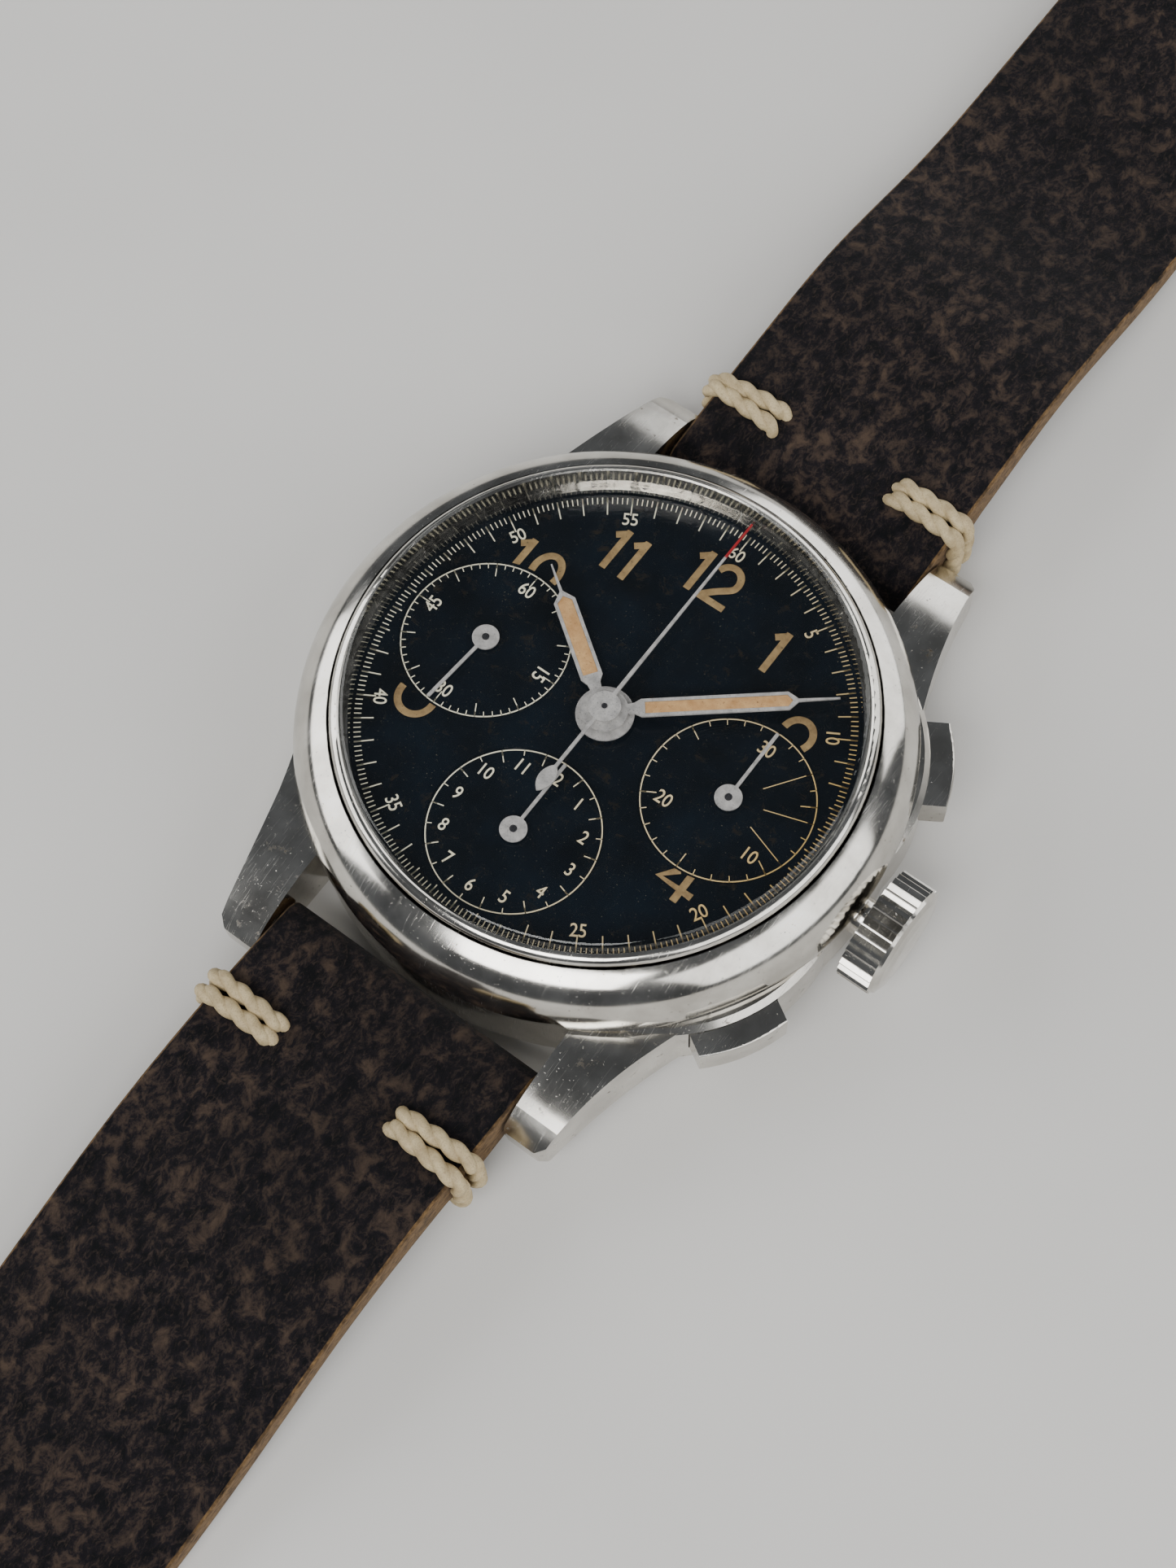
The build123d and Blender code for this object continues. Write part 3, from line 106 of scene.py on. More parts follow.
def polishedSteel(name, settings):
    # stainless steel turned and buffed by hand: mirror-like, with hairlines, small dings and a little grime
    material, tree, shader = newMaterial(name)
    place = addNode(tree, "TexCoord", {}, "Object")
    patches = noise(tree, place, settings["patchMm"], 4.0)
    pits = noise(tree, place, 0.16, 2.0, 0.6)
    pitMask = addNode(tree, "MapRange", {0: pits, 1: 0.70, 2: 0.78})
    hair = scratches(tree, place, settings["hairMm"], [(0.2, 0.4, 0.3), (0.9, 0.2, 1.5), (0.1, 1.1, 2.4)])
    steel = addNode(
        tree, "ValToRGB", {0: patches, "stops": [(0.35, settings["dark"]), (0.65, settings["light"])]})
    grimeNoise = noise(tree, place, 0.9, 5.0, 0.7)
    grime = addNode(
        tree, "MapRange", {0: grimeNoise, 1: settings["grimeFrom"], 2: settings["grimeFrom"] + 0.1})
    colour = addNode(tree, "Mix", {"data_type": "RGBA", 0: grime, 6: steel, 7: settings["grime"]}, 2)
    colour = addNode(
        tree, "Mix",
        {
            "data_type": "RGBA", 0: addNode(tree, "Math", {"operation": "MULTIPLY", 0: pitMask, 1: 0.75}),
            6: colour, 7: "4b443a"},
        2)
    tree.links.new(colour, shader.inputs["Base Color"])
    dull = addNode(
        tree, "MapRange", {0: patches, 1: 0.3, 2: 0.7, 3: settings["smooth"], 4: settings["smooth"] + 0.1})
    rough = addNode(
        tree, "Math",
        {"operation": "ADD", 0: dull, 1: addNode(tree, "Math", {"operation": "MULTIPLY", 0: hair, 1: 0.12})})
    rough = addNode(
        tree, "Math",
        {
            "operation": "ADD", 0: rough,
            1: addNode(tree, "Math", {"operation": "MULTIPLY", 0: grime, 1: 0.35})})
    tree.links.new(rough, shader.inputs["Roughness"])
    shader.inputs["Metallic"].default_value = 1.0
    wavy = addNode(
        tree, "Bump", {"Height": noise(tree, place, 2.6, 1.0), "Distance": 0.02 * mm, "Strength": 0.35})
    dented = addNode(
        tree, "Bump", {"Height": pitMask, "Distance": -0.012 * mm, "Strength": 0.8, "Normal": wavy})
    tree.links.new(
        addNode(
            tree, "Bump", {"Height": hair, "Distance": -0.0012 * mm, "Strength": 0.35, "Normal": dented}),
        shader.inputs["Normal"])
    return material


caseSteel = {"patchMm": 3.2, "hairMm": 0.045, "dark": "bdb9b1", "light": "dedbd4", "grime": "6c6152",
             "grimeFrom": 0.66, "smooth": 0.09}
polished = polishedSteel("buffedStainlessSteel", caseSteel)
wornSteel = polishedSteel("handledStainlessSteel", {**caseSteel, "smooth": 0.13, "grimeFrom": 0.62})
innerSteel = polishedSteel(
    "turnedMovementSteel", {**caseSteel, "smooth": 0.2, "patchMm": 1.2, "grimeFrom": 0.8})


def bezelSteel():
    # the bezel's own steel, with a dark line painted in its step as the shade of the gap there, made patchy
    # by noise
    material = polished.copy()
    material.name = "bezelStainlessSteel"
    tree = material.node_tree
    shader = next(n for n in tree.nodes if n.type == "BSDF_PRINCIPLED")
    before = shader.inputs["Base Color"].links[0].from_socket
    low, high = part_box("bezel")
    split = addNode(tree, "SeparateXYZ", {0: addNode(tree, "TexCoord", {}, "Object")}).node
    radius = addNode(
        tree, "Math",
        {
            "operation": "POWER",
            0: addNode(
                tree, "Math",
                {
                    "operation": "ADD",
                    0: addNode(tree, "Math", {"operation": "POWER", 0: split.outputs[0], 1: 2.0}),
                    1: addNode(tree, "Math", {"operation": "POWER", 0: split.outputs[1], 1: 2.0})}),
            1: 0.5})
    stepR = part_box("crystal")[1][0] + 0.7 * mm
    stepZ = high[2] - 0.6 * mm
    nearR = addNode(
        tree, "MapRange",
        {
            0: addNode(
                tree, "Math",
                {
                    "operation": "ABSOLUTE",
                    0: addNode(tree, "Math", {"operation": "SUBTRACT", 0: radius, 1: stepR})}),
            1: 0.05 * mm, 2: 0.11 * mm, 3: 1, 4: 0})
    nearZ = addNode(
        tree, "MapRange",
        {
            0: addNode(
                tree, "Math",
                {
                    "operation": "ABSOLUTE",
                    0: addNode(tree, "Math", {"operation": "SUBTRACT", 0: split.outputs[2], 1: stepZ})}),
            1: 0.08 * mm, 2: 0.16 * mm, 3: 1, 4: 0})
    broken = addNode(
        tree, "MapRange",
        {0: noise(tree, addNode(tree, "TexCoord", {}, "Object"), 1.4, 3.0), 1: 0.3, 2: 0.5, 3: 0.55, 4: 1.0})
    # painted shade: a near-black ring at the step's radius and height, standing in for the gap's shadow,
    # broken up by noise
    gapShade = addNode(
        tree, "Math",
        {
            "operation": "MULTIPLY",
            0: addNode(tree, "Math", {"operation": "MULTIPLY", 0: nearR, 1: nearZ}), 1: broken})
    tree.links.new(
        addNode(tree, "Mix", {"data_type": "RGBA", 0: gapShade, 6: before, 7: "16130f"}, 2),
        shader.inputs["Base Color"])
    return material


def platedBrass(name, light, dark, grainMm, smooth):
    # turned brass parts, gilt or nickel plated, with a fine turned grain
    # the arbors above the dial are grey steel
    material, tree, shader = newMaterial(name)
    place = addNode(tree, "TexCoord", {}, "Object")
    patches = noise(tree, place, 1.5, 4.0)
    grain = noise(tree, place, grainMm, 2.0, 0.5, (1, 0.1, 1))
    height = addNode(tree, "SeparateXYZ", {0: place}, 2)
    arbor = addNode(tree, "MapRange", {0: height, 1: dialTop - 0.02 * mm, 2: dialTop + 0.02 * mm})
    plating = addNode(tree, "ValToRGB", {0: patches, "stops": [(0.3, dark), (0.7, light)]})
    tree.links.new(
        addNode(tree, "Mix", {"data_type": "RGBA", 0: arbor, 6: plating, 7: "8a888a"}, 2),
        shader.inputs["Base Color"])
    tree.links.new(
        addNode(tree, "MapRange", {0: grain, 1: 0.3, 2: 0.7, 3: smooth, 4: smooth + 0.15}),
        shader.inputs["Roughness"])
    tree.links.new(
        addNode(tree, "Bump", {"Height": grain, "Distance": 0.004 * mm, "Strength": 0.5}),
        shader.inputs["Normal"])
    shader.inputs["Metallic"].default_value = 1.0
    return material


def handMetal():
    # rhodium plated hands gone grey: dull silver with darker oxide specks
    material, tree, shader = newMaterial("oxidisedHandPlating")
    place = addNode(tree, "TexCoord", {}, "Object")
    specks = noise(tree, place, 0.11, 4.0, 0.7)
    cloud = noise(tree, place, 0.5, 3.0)
    silver = addNode(tree, "ValToRGB", {0: cloud, "stops": [(0.3, "a3a19e"), (0.7, "cbc8c4")]})
    oxide = addNode(tree, "MapRange", {0: specks, 1: 0.56, 2: 0.68})
    tree.links.new(
        addNode(
            tree, "Mix",
            {
                "data_type": "RGBA", 0: addNode(tree, "Math", {"operation": "MULTIPLY", 0: oxide, 1: 0.7}),
                6: silver, 7: "5c5e61"},
            2),
        shader.inputs["Base Color"])
    tree.links.new(
        addNode(tree, "MapRange", {0: specks, 1: 0.3, 2: 0.7, 3: 0.26, 4: 0.5}), shader.inputs["Roughness"])
    tree.links.new(
        addNode(tree, "Bump", {"Height": specks, "Distance": 0.01 * mm, "Strength": 0.5}),
        shader.inputs["Normal"])
    shader.inputs["Metallic"].default_value = 0.2
    return material


def sweepPlating():
    # the sweep hand: the same plating, its last stretch lacquered red
    material = handMetal()
    material.name = "redTippedHandPlating"
    tree = material.node_tree
    shader = next(n for n in tree.nodes if n.type == "BSDF_PRINCIPLED")
    before = shader.inputs["Base Color"].links[0].from_socket
    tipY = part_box("sweep_seconds_hand")[1][1]
    split = addNode(tree, "SeparateXYZ", {0: addNode(tree, "TexCoord", {}, "Object")}).node
    lacquer = addNode(tree, "MapRange", {0: split.outputs[1], 1: tipY - 2.75 * mm, 2: tipY - 2.65 * mm})
    tree.links.new(
        addNode(tree, "Mix", {"data_type": "RGBA", 0: lacquer, 6: before, 7: "9c2226"}, 2),
        shader.inputs["Base Color"])
    tree.links.new(
        addNode(tree, "MapRange", {0: lacquer, 1: 0, 2: 1, 3: 0.2, 4: 0.0}), shader.inputs["Metallic"])
    return material


hands = handMetal()
gilt = platedBrass("giltBrass", "d8b676", "a98244", 0.08, 0.2)
nickel = platedBrass("nickelPlatedBrass", "cdc6b6", "a19a8a", 0.12, 0.24)
blued = platedBrass("bluedSpringSteel", "34508a", "1a2750", 0.06, 0.18)
print("metals ready")


# ---- dial, crystal and printing

dialLook = {"enamel": "060b10", "cloud": "0b151e", "speck": "6f6a58", "stain": "2a2318"}
registerPlaces = [(-8.64, 0.0), (8.64, 0.0), (0.0, -8.64)]
registerMm = 5.15
registerFloor = dialTop - 0.08 * mm


def dialEnamel():
    # gloss black enamel, eighty years old: faint blue clouding and pale dust specks
    # turned rings in the registers
    material, tree, shader = newMaterial("agedBlackEnamel")
    place = addNode(tree, "TexCoord", {}, "Object")
    cloud = noise(tree, place, 4.5, 4.0, 0.6)
    specks = noise(tree, place, 0.11, 2.0, 0.7)
    stains = noise(tree, place, 0.9, 6.0, 0.75, distortion=0.6)
    base = addNode(
        tree, "ValToRGB", {0: cloud, "stops": [(0.35, dialLook["enamel"]), (0.7, dialLook["cloud"])]})
    stained = addNode(
        tree, "Mix",
        {
            "data_type": "RGBA", 0: addNode(tree, "MapRange", {0: stains, 1: 0.58, 2: 0.72, 3: 0, 4: 0.8}),
            6: base, 7: dialLook["stain"]},
        2)
    speckMask = addNode(
        tree, "Math",
        {
            "operation": "MULTIPLY", 0: addNode(tree, "MapRange", {0: specks, 1: 0.69, 2: 0.74}),
            1: addNode(tree, "MapRange", {0: cloud, 1: 0.35, 2: 0.6, 3: 0.1, 4: 0.8})})
    colour = addNode(tree, "Mix", {"data_type": "RGBA", 0: speckMask, 6: stained, 7: dialLook["speck"]}, 2)
    rings = None
    for x, y in registerPlaces:
        shifted = addNode(tree, "VectorMath", {"operation": "SUBTRACT", 0: place, 1: (x * mm, y * mm, 0)})
        flat = addNode(tree, "VectorMath", {"operation": "MULTIPLY", 0: shifted, 1: (1, 1, 0)})
        away = addNode(tree, "VectorMath", {"operation": "LENGTH", 0: flat}, "Value")
        wave = addNode(
            tree, "Math",
            {
                "operation": "SINE",
                0: addNode(tree, "Math", {"operation": "MULTIPLY", 0: away, 1: 2 * math.pi / (0.16 * mm)})})
        inside = addNode(
            tree, "MapRange", {0: away, 1: (registerMm - 0.15) * mm, 2: (registerMm - 0.1) * mm, 3: 1, 4: 0})
        ring = addNode(tree, "Math", {"operation": "MULTIPLY", 0: wave, 1: inside})
        rings = ring if rings is None else addNode(tree, "Math", {"operation": "ADD", 0: rings, 1: ring})
    tree.links.new(colour, shader.inputs["Base Color"])
    tree.links.new(
        addNode(tree, "MapRange", {0: stains, 1: 0.3, 2: 0.75, 3: 0.16, 4: 0.34}),
        shader.inputs["Roughness"])
    shader.inputs["Specular IOR Level"].default_value = 0.3
    grooved = addNode(tree, "Bump", {"Height": rings, "Distance": 0.006 * mm, "Strength": 0.55})
    tree.links.new(
        addNode(
            tree, "Bump", {"Height": specks, "Distance": 0.004 * mm, "Strength": 0.5, "Normal": grooved}),
        shader.inputs["Normal"])
    return material


def gildedPrint():
    # cream printing that has yellowed to gilt towards 3 o'clock
    material, tree, shader = newMaterial("agedDialPrint")
    place = addNode(tree, "TexCoord", {}, "Object")
    split = addNode(tree, "SeparateXYZ", {0: place}).node
    wear = noise(tree, place, 0.35, 4.0, 0.7)
    side = addNode(tree, "MapRange", {0: split.outputs[0], 1: -4 * mm, 2: 13 * mm})
    fresh = addNode(tree, "Mix", {"data_type": "RGBA", 0: side, 6: "ece6cc", 7: "cfae6c"}, 2)
    tree.links.new(
        addNode(
            tree, "Mix",
            {
                "data_type": "RGBA",
                0: addNode(tree, "MapRange", {0: wear, 1: 0.58, 2: 0.78, 3: 0, 4: 0.55}), 6: fresh,
                7: "5d523a"},
            2),
        shader.inputs["Base Color"])
    tree.links.new(
        addNode(tree, "MapRange", {0: wear, 1: 0.3, 2: 0.7, 3: 0.4, 4: 0.6}), shader.inputs["Roughness"])
    return material


def agedLume(name, light, dark, wornColour):
    # radium paint gone tan: grainy, matt, with darker burnt specks
    material, tree, shader = newMaterial(name)
    place = addNode(tree, "TexCoord", {}, "Object")
    grain = noise(tree, place, 0.07, 3.0, 0.7)
    cloud = noise(tree, place, 0.6, 4.0, 0.65)
    specks = noise(tree, place, 0.16, 2.0, 0.6)
    paint = addNode(tree, "ValToRGB", {0: cloud, "stops": [(0.32, dark), (0.68, light)]})
    tree.links.new(
        addNode(
            tree, "Mix",
            {
                "data_type": "RGBA",
                0: addNode(tree, "MapRange", {0: specks, 1: 0.64, 2: 0.72, 3: 0, 4: 0.8}), 6: paint,
                7: wornColour},
            2),
        shader.inputs["Base Color"])
    tree.links.new(
        addNode(tree, "MapRange", {0: grain, 1: 0.3, 2: 0.7, 3: 0.62, 4: 0.85}), shader.inputs["Roughness"])
    tree.links.new(
        addNode(tree, "Bump", {"Height": grain, "Distance": 0.02 * mm, "Strength": 0.8}),
        shader.inputs["Normal"])
    return material


def acrylicCrystal():
    # clear cast acrylic: it shows as its own reflections, with fine swirls from handling
    material, tree, shader = newMaterial("castAcrylicCrystal")
    place = addNode(tree, "TexCoord", {}, "Object")
    hair = scratches(tree, place, 0.05, [(0, 0, 0.5), (0, 0, 1.7), (0, 0, 2.6)])
    haze = noise(tree, place, 3.0, 3.0)
    normal = addNode(tree, "Bump", {"Height": hair, "Distance": -0.0008 * mm, "Strength": 0.2})
    tree.links.new(normal, shader.inputs["Normal"])
    fresnel = addNode(tree, "Fresnel", {"IOR": 1.49, "Normal": normal})
    # only the outer skin mirrors: seen from within, the faces would turn opaque at a slant
    facing = addNode(
        tree, "Math", {"operation": "SUBTRACT", 0: 1.0, 1: addNode(tree, "NewGeometry", {}, "Backfacing")})
    mirror = addNode(tree, "Math", {"operation": "MULTIPLY", 0: fresnel, 1: facing})
    cover = addNode(
        tree, "Math",
        {
            "operation": "ADD", 0: mirror,
            1: addNode(tree, "Math", {"operation": "MULTIPLY", 0: hair, 1: 0.02})})
    tree.links.new(
        addNode(
            tree, "Math",
            {
                "operation": "ADD", 0: cover,
                1: addNode(tree, "MapRange", {0: haze, 1: 0.3, 2: 0.7, 3: 0.0, 4: 0.006})}),
        shader.inputs["Alpha"])
    tree.links.new(
        addNode(tree, "MapRange", {0: haze, 1: 0.3, 2: 0.7, 3: 0.015, 4: 0.05}), shader.inputs["Roughness"])
    shader.inputs["Base Color"].default_value = linear("f4f4f0")
    shader.inputs["Metallic"].default_value = 1.0
    return material


enamel = dialEnamel()
printInk = gildedPrint()
numeralLume = agedLume("agedNumeralLume", "a0865a", "7b633f", "463a26")
handLume = agedLume("agedHandLume", "cfa570", "b08452", "6e4e2e")
acrylic = acrylicCrystal()

nodeLooks = {
    "case_middle": wornSteel, "bezel": bezelSteel(), "case_back": wornSteel, "crown": polished,
    "crown_tube": polished, "start_pusher": wornSteel, "reset_pusher": wornSteel, "spring_bars": polished,
    "buckle_frame": wornSteel, "buckle_tongue": polished, "crystal": acrylic, "dial": enamel,
    "sweep_seconds_hand": sweepPlating(), "mainspring": blued, "hairspring": blued, "movement_ring": nickel,}
for name in ("hour_hand", "minute_hand", "running_seconds_hand", "minute_counter_hand", "hour_counter_hand"):
    nodeLooks[name] = hands
for name in (
    "main_plate", "barrel_bridge", "train_bridge", "balance_cock", "pallet_bridge", "chronograph_bridge"):
    nodeLooks[name] = nickel
for name, thing in nodes.items():
    if name.endswith(("_wheel", "_runner")) or name == "mainspring_barrel":
        nodeLooks.setdefault(name, gilt)
    thing.data.materials.clear()
    thing.data.materials.append(nodeLooks.get(name, innerSteel))
print("CAD parts finished")


# ---- modelling helpers

def deselectAll():
    if bpy.context.object and bpy.context.object.mode != "OBJECT":
        bpy.ops.object.mode_set(mode="OBJECT")
    bpy.ops.object.select_all(action="DESELECT")


def settle(thing, name, look):
    # names a piece, bakes its place into its mesh and gives it its material
    thing.name = name
    thing.data.name = name
    deselectAll()
    thing.select_set(True)
    bpy.context.view_layer.objects.active = thing
    bpy.ops.object.transform_apply(location=True, rotation=True, scale=True)
    thing.data.materials.clear()
    thing.data.materials.append(look)
    return thing


def joinAll(things, name, look):
    deselectAll()
    for thing in things:
        thing.select_set(True)
    bpy.context.view_layer.objects.active = things[0]
    if len(things) > 1:
        bpy.ops.object.join()
    return settle(bpy.context.object, name, look)


def tickRing(centre, outer, length, width, count, startDegrees, z, thick, skip=()):
    # one bar at the top of the ring, then copies spun round the centre
    deselectAll()
    middle = (centre[0] * mm, (centre[1] + outer - length / 2) * mm, z + thick * mm / 2)
    bpy.ops.mesh.primitive_cube_add(size=1, location=middle)
    bar = bpy.context.object
    bar.scale = (width * mm, length * mm, thick * mm)
    bpy.ops.object.transform_apply(location=True, rotation=True, scale=True)
    bars = []
    for n in range(count):
        degrees = startDegrees + n * 360 / count
        if any(low <= degrees % 360 <= high for low, high in skip):
            continue
        copy = bpy.data.objects.new("tick", bar.data.copy())
        bpy.context.collection.objects.link(copy)
        pivot = Matrix.Translation((centre[0] * mm, centre[1] * mm, 0))
        copy.data.transform(pivot @ Matrix.Rotation(-math.radians(degrees), 4, "Z") @ pivot.inverted())
        bars.append(copy)
    bpy.data.objects.remove(bar)
    return bars


def ringLine(centre, radius, width, z, thick):
    # a printed circle: a flat torus-like band
    deselectAll()
    bpy.ops.mesh.primitive_circle_add(
        vertices=160, radius=radius * mm, location=(centre[0] * mm, centre[1] * mm, z))
    ring = bpy.context.object
    bpy.ops.object.mode_set(mode="EDIT")
    bpy.ops.mesh.select_all(action="SELECT")
    grown = 1 - width / radius
    bpy.ops.mesh.extrude_edges_move()
    bpy.ops.transform.resize(value=(grown, grown, 1))
    bpy.ops.mesh.select_all(action="SELECT")
    bpy.ops.mesh.normals_make_consistent(inside=False)
    bpy.ops.object.mode_set(mode="OBJECT")
    solid = ring.modifiers.new("thickness", "SOLIDIFY")
    solid.thickness = thick * mm
    solid.offset = 0
    bpy.ops.object.modifier_apply(modifier="thickness")
    return ring


def numeral(text, heightMm, place, turnDegrees, z, thick, bold=0.0, narrow=1.0):
    # a figure as a flat solid, heightMm tall, centred on its place and turned clockwise
    deselectAll()
    bpy.ops.object.text_add(location=(0, 0, 0))
    thing = bpy.context.object
    thing.data.body = text
    thing.data.size = 1.0
    thing.data.offset = bold
    thing.data.resolution_u = 5
    thing.data.extrude = 0.02
    bpy.ops.object.convert(target="MESH")
    thing = bpy.context.object
    xs = [v.co.x for v in thing.data.vertices]
    ys = [v.co.y for v in thing.data.vertices]
    grow = heightMm * mm / (max(ys) - min(ys))
    shift = Matrix.Translation((-(max(xs) + min(xs)) / 2, -(max(ys) + min(ys)) / 2, 0))
    scale = Matrix.Diagonal((grow * narrow, grow, thick * mm / 0.04, 1))
    turn = Matrix.Rotation(-math.radians(turnDegrees), 4, "Z")
    thing.data.transform(
        Matrix.Translation((place[0] * mm, place[1] * mm, z + thick * mm / 2)) @ turn @ scale @ shift)
    return thing


def clockPlace(centre, radius, degrees):
    # a point on a dial, degrees clockwise from its top
    a = math.radians(degrees)
    return centre[0] + radius * math.sin(a), centre[1] + radius * math.cos(a)


# ---- dial printing

printing = {"thick": 0.02, "trackR": 14.45, "fifthLong": 0.42, "secondLong": 1.15, "lineWide": 0.055,
            "secondsR": 13.28, "secondsTall": 0.8, "smallTall": 0.84}


def centralTrack():
    p = printing
    z = dialTop + 0.002 * mm
    around = [(74, 106), (164, 196), (254, 286)]
    parts = tickRing((0, 0), p["trackR"], p["fifthLong"], p["lineWide"], 300, 0, z, p["thick"])
    parts += tickRing((0, 0), p["trackR"], p["secondLong"], 0.07, 60, 0, z, p["thick"], around)
    parts += tickRing((0, 0), p["trackR"], 0.62, 0.07, 60, 0, z, p["thick"],
                      [(0, 73), (107, 163), (197, 253), (287, 360)])
    for n in (5, 10, 20, 25, 35, 40, 50, 55, 60):
        degrees = n * 6
        turn = degrees if n in (5, 10, 50, 55, 60) else degrees - 180
        where = clockPlace((0, 0), p["secondsR"] - 0.25, degrees)
        parts.append(numeral(str(n), p["secondsTall"], where, turn, z, p["thick"], 0.004, 0.88))
    return joinAll(parts, "minute_track_print", printInk)


def registerPrint():
    p = printing
    z = registerFloor + 0.002 * mm
    thick, tall = p["thick"], p["smallTall"]
    seconds, minutes, hours = registerPlaces
    ringR = 5.02
    parts = [ringLine(centre, ringR, 0.07, z + 0.01 * mm, thick) for centre in registerPlaces]
    # running seconds: a tick each second, a longer one each fifth
    parts += tickRing(seconds, ringR, 0.34, 0.05, 60, 0, z, thick)
    parts += tickRing(seconds, ringR, 0.85, 0.06, 12, 0, z, thick)
    for text, degrees, turn in (("60", 0, 0), ("15", 90, 90), ("30", 180, 0), ("45", 270, 270)):
        parts.append(numeral(text, tall, clockPlace(seconds, 3.95, degrees), turn, z, thick, 0.004, 0.85))
    # thirty minutes, with the long lines for three-minute telephone calls
    parts += tickRing(minutes, ringR, 0.38, 0.05, 30, 0, z, thick)
    parts += tickRing(minutes, ringR, 0.95, 0.06, 6, 0, z, thick)
    for degrees in (36, 72, 108):
        parts += tickRing(minutes, ringR, 2.95, 0.05, 1, degrees, z, thick)
    for text, where in (("30", (0, 3.8)), ("20", (-2.98, -2.08)), ("10", (2.98, -2.08))):
        parts.append(
            numeral(text, tall, (minutes[0] + where[0], minutes[1] + where[1]), 0, z, thick, 0.004, 0.85))
    # twelve hours, a tick each half hour
    parts += tickRing(hours, ringR, 0.36, 0.05, 24, 0, z, thick)
    parts += tickRing(hours, ringR, 0.75, 0.06, 12, 15, z, thick)
    for n in range(1, 13):
        parts.append(numeral(str(n), tall * 0.96, clockPlace(hours, 3.98, n * 30), 0, z, thick, 0.004, 0.85))
    return joinAll(parts, "register_print", printInk)


def paintedStroke(points, widthMm, z, tall, smooth):
    # one brush stroke of luminous paint: a flattened tube along its path
    curve = bpy.data.curves.new("stroke", "CURVE")
    curve.dimensions = "3D"
    curve.bevel_depth = widthMm * mm / 2
    curve.bevel_resolution = 3
    curve.use_fill_caps = True
    line = curve.splines.new("NURBS" if smooth else "POLY")
    line.points.add(len(points) - 1)
    for mark, (x, y) in zip(line.points, points):
        mark.co = (x * mm, y * mm, 0, 1)
    if smooth:
        line.order_u = 4
        line.use_endpoint_u = True
        line.resolution_u = 5
    stroke = bpy.data.objects.new("stroke", curve)
    bpy.context.collection.objects.link(stroke)
    deselectAll()
    stroke.select_set(True)
    bpy.context.view_layer.objects.active = stroke
    bpy.ops.object.convert(target="MESH")
    stroke = bpy.context.object
    flat = Matrix.Diagonal((1, 1, tall / widthMm, 1))
    stroke.data.transform(Matrix.Translation((0, 0, z + tall * mm / 2)) @ flat)
    return stroke


def arcPoints(centre, radiusX, radiusY, fromDegrees, toDegrees, count):
    turns = [math.radians(fromDegrees + (toDegrees - fromDegrees) * n / (count - 1)) for n in range(count)]
    return [(centre[0] + radiusX * math.cos(a), centre[1] + radiusY * math.sin(a)) for a in turns]


def hourFigures():
    # brushed luminous figures; the registers cut through four of them
    look = {"wide": 0.44, "tall": 0.07, "high": 2.75}
    z = dialTop + 0.001 * mm
    half = look["wide"] / 2
    strokes = []
    # the ones: a stem and a short flag, for 12, both in 11, 1 and 10
    for x, top in ((-1.13, 12.4), (-5.99, 10.66), (-4.66, 10.66), (5.54, 10.58), (-10.22, 6.92)):
        strokes.append(([(x, top - 0.02), (x, top - look["high"] - 0.2)], False))
        strokes.append(([(x, top - half), (x - 0.25, top - 0.42), (x - 0.6, top - 0.7)], False))
    # the two of 12, closed by its foot
    strokes.append(
        (
            arcPoints((0.52, 11.35), 0.78, 0.86, 165, -35, 12) + [(0.35, 10.3), (-0.2, 9.7), (-0.28, 9.6)],
            True))
    strokes.append(([(-0.42, 9.58), (1.46, 9.58)], False))
    # the round parts of 10, 2 and 8
    strokes.append((arcPoints((-8.46, 5.55), 0.82, 1.16, -20, 200, 14), True))
    strokes.append((arcPoints((9.52, 5.5), 0.9, 1.0, -35, 178, 14), True))
    strokes.append((arcPoints((-9.59, -5.3), 1.1, 1.16, 172, 368, 14), True))
    # the four
    strokes.append(([(9.0, -5.1), (8.2, -6.02), (10.45, -6.08)], False))
    strokes.append(([(9.71, -5.0), (9.71, -6.85)], False))
    parts = [paintedStroke(points, look["wide"], z, look["tall"], smooth) for points, smooth in strokes]
    figures = joinAll(parts, "hour_figures", numeralLume)
    for x, y in registerPlaces:
        deselectAll()
        place = (x * mm, y * mm, z)
        bpy.ops.mesh.primitive_cylinder_add(
            vertices=96, radius=(registerMm + 0.04) * mm, depth=2 * mm, location=place)
        cutter = bpy.context.object
        deselectAll()
        bpy.context.view_layer.objects.active = figures
        figures.select_set(True)
        cut = figures.modifiers.new("register", "BOOLEAN")
        cut.operation = "DIFFERENCE"
        cut.use_self = True
        cut.object = cutter
        bpy.ops.object.modifier_apply(modifier="register")
        bpy.data.objects.remove(cutter)
    deselectAll()
    figures.select_set(True)
    bpy.context.view_layer.objects.active = figures
    bpy.ops.object.shade_smooth_by_angle(angle=math.radians(40))
    return figures


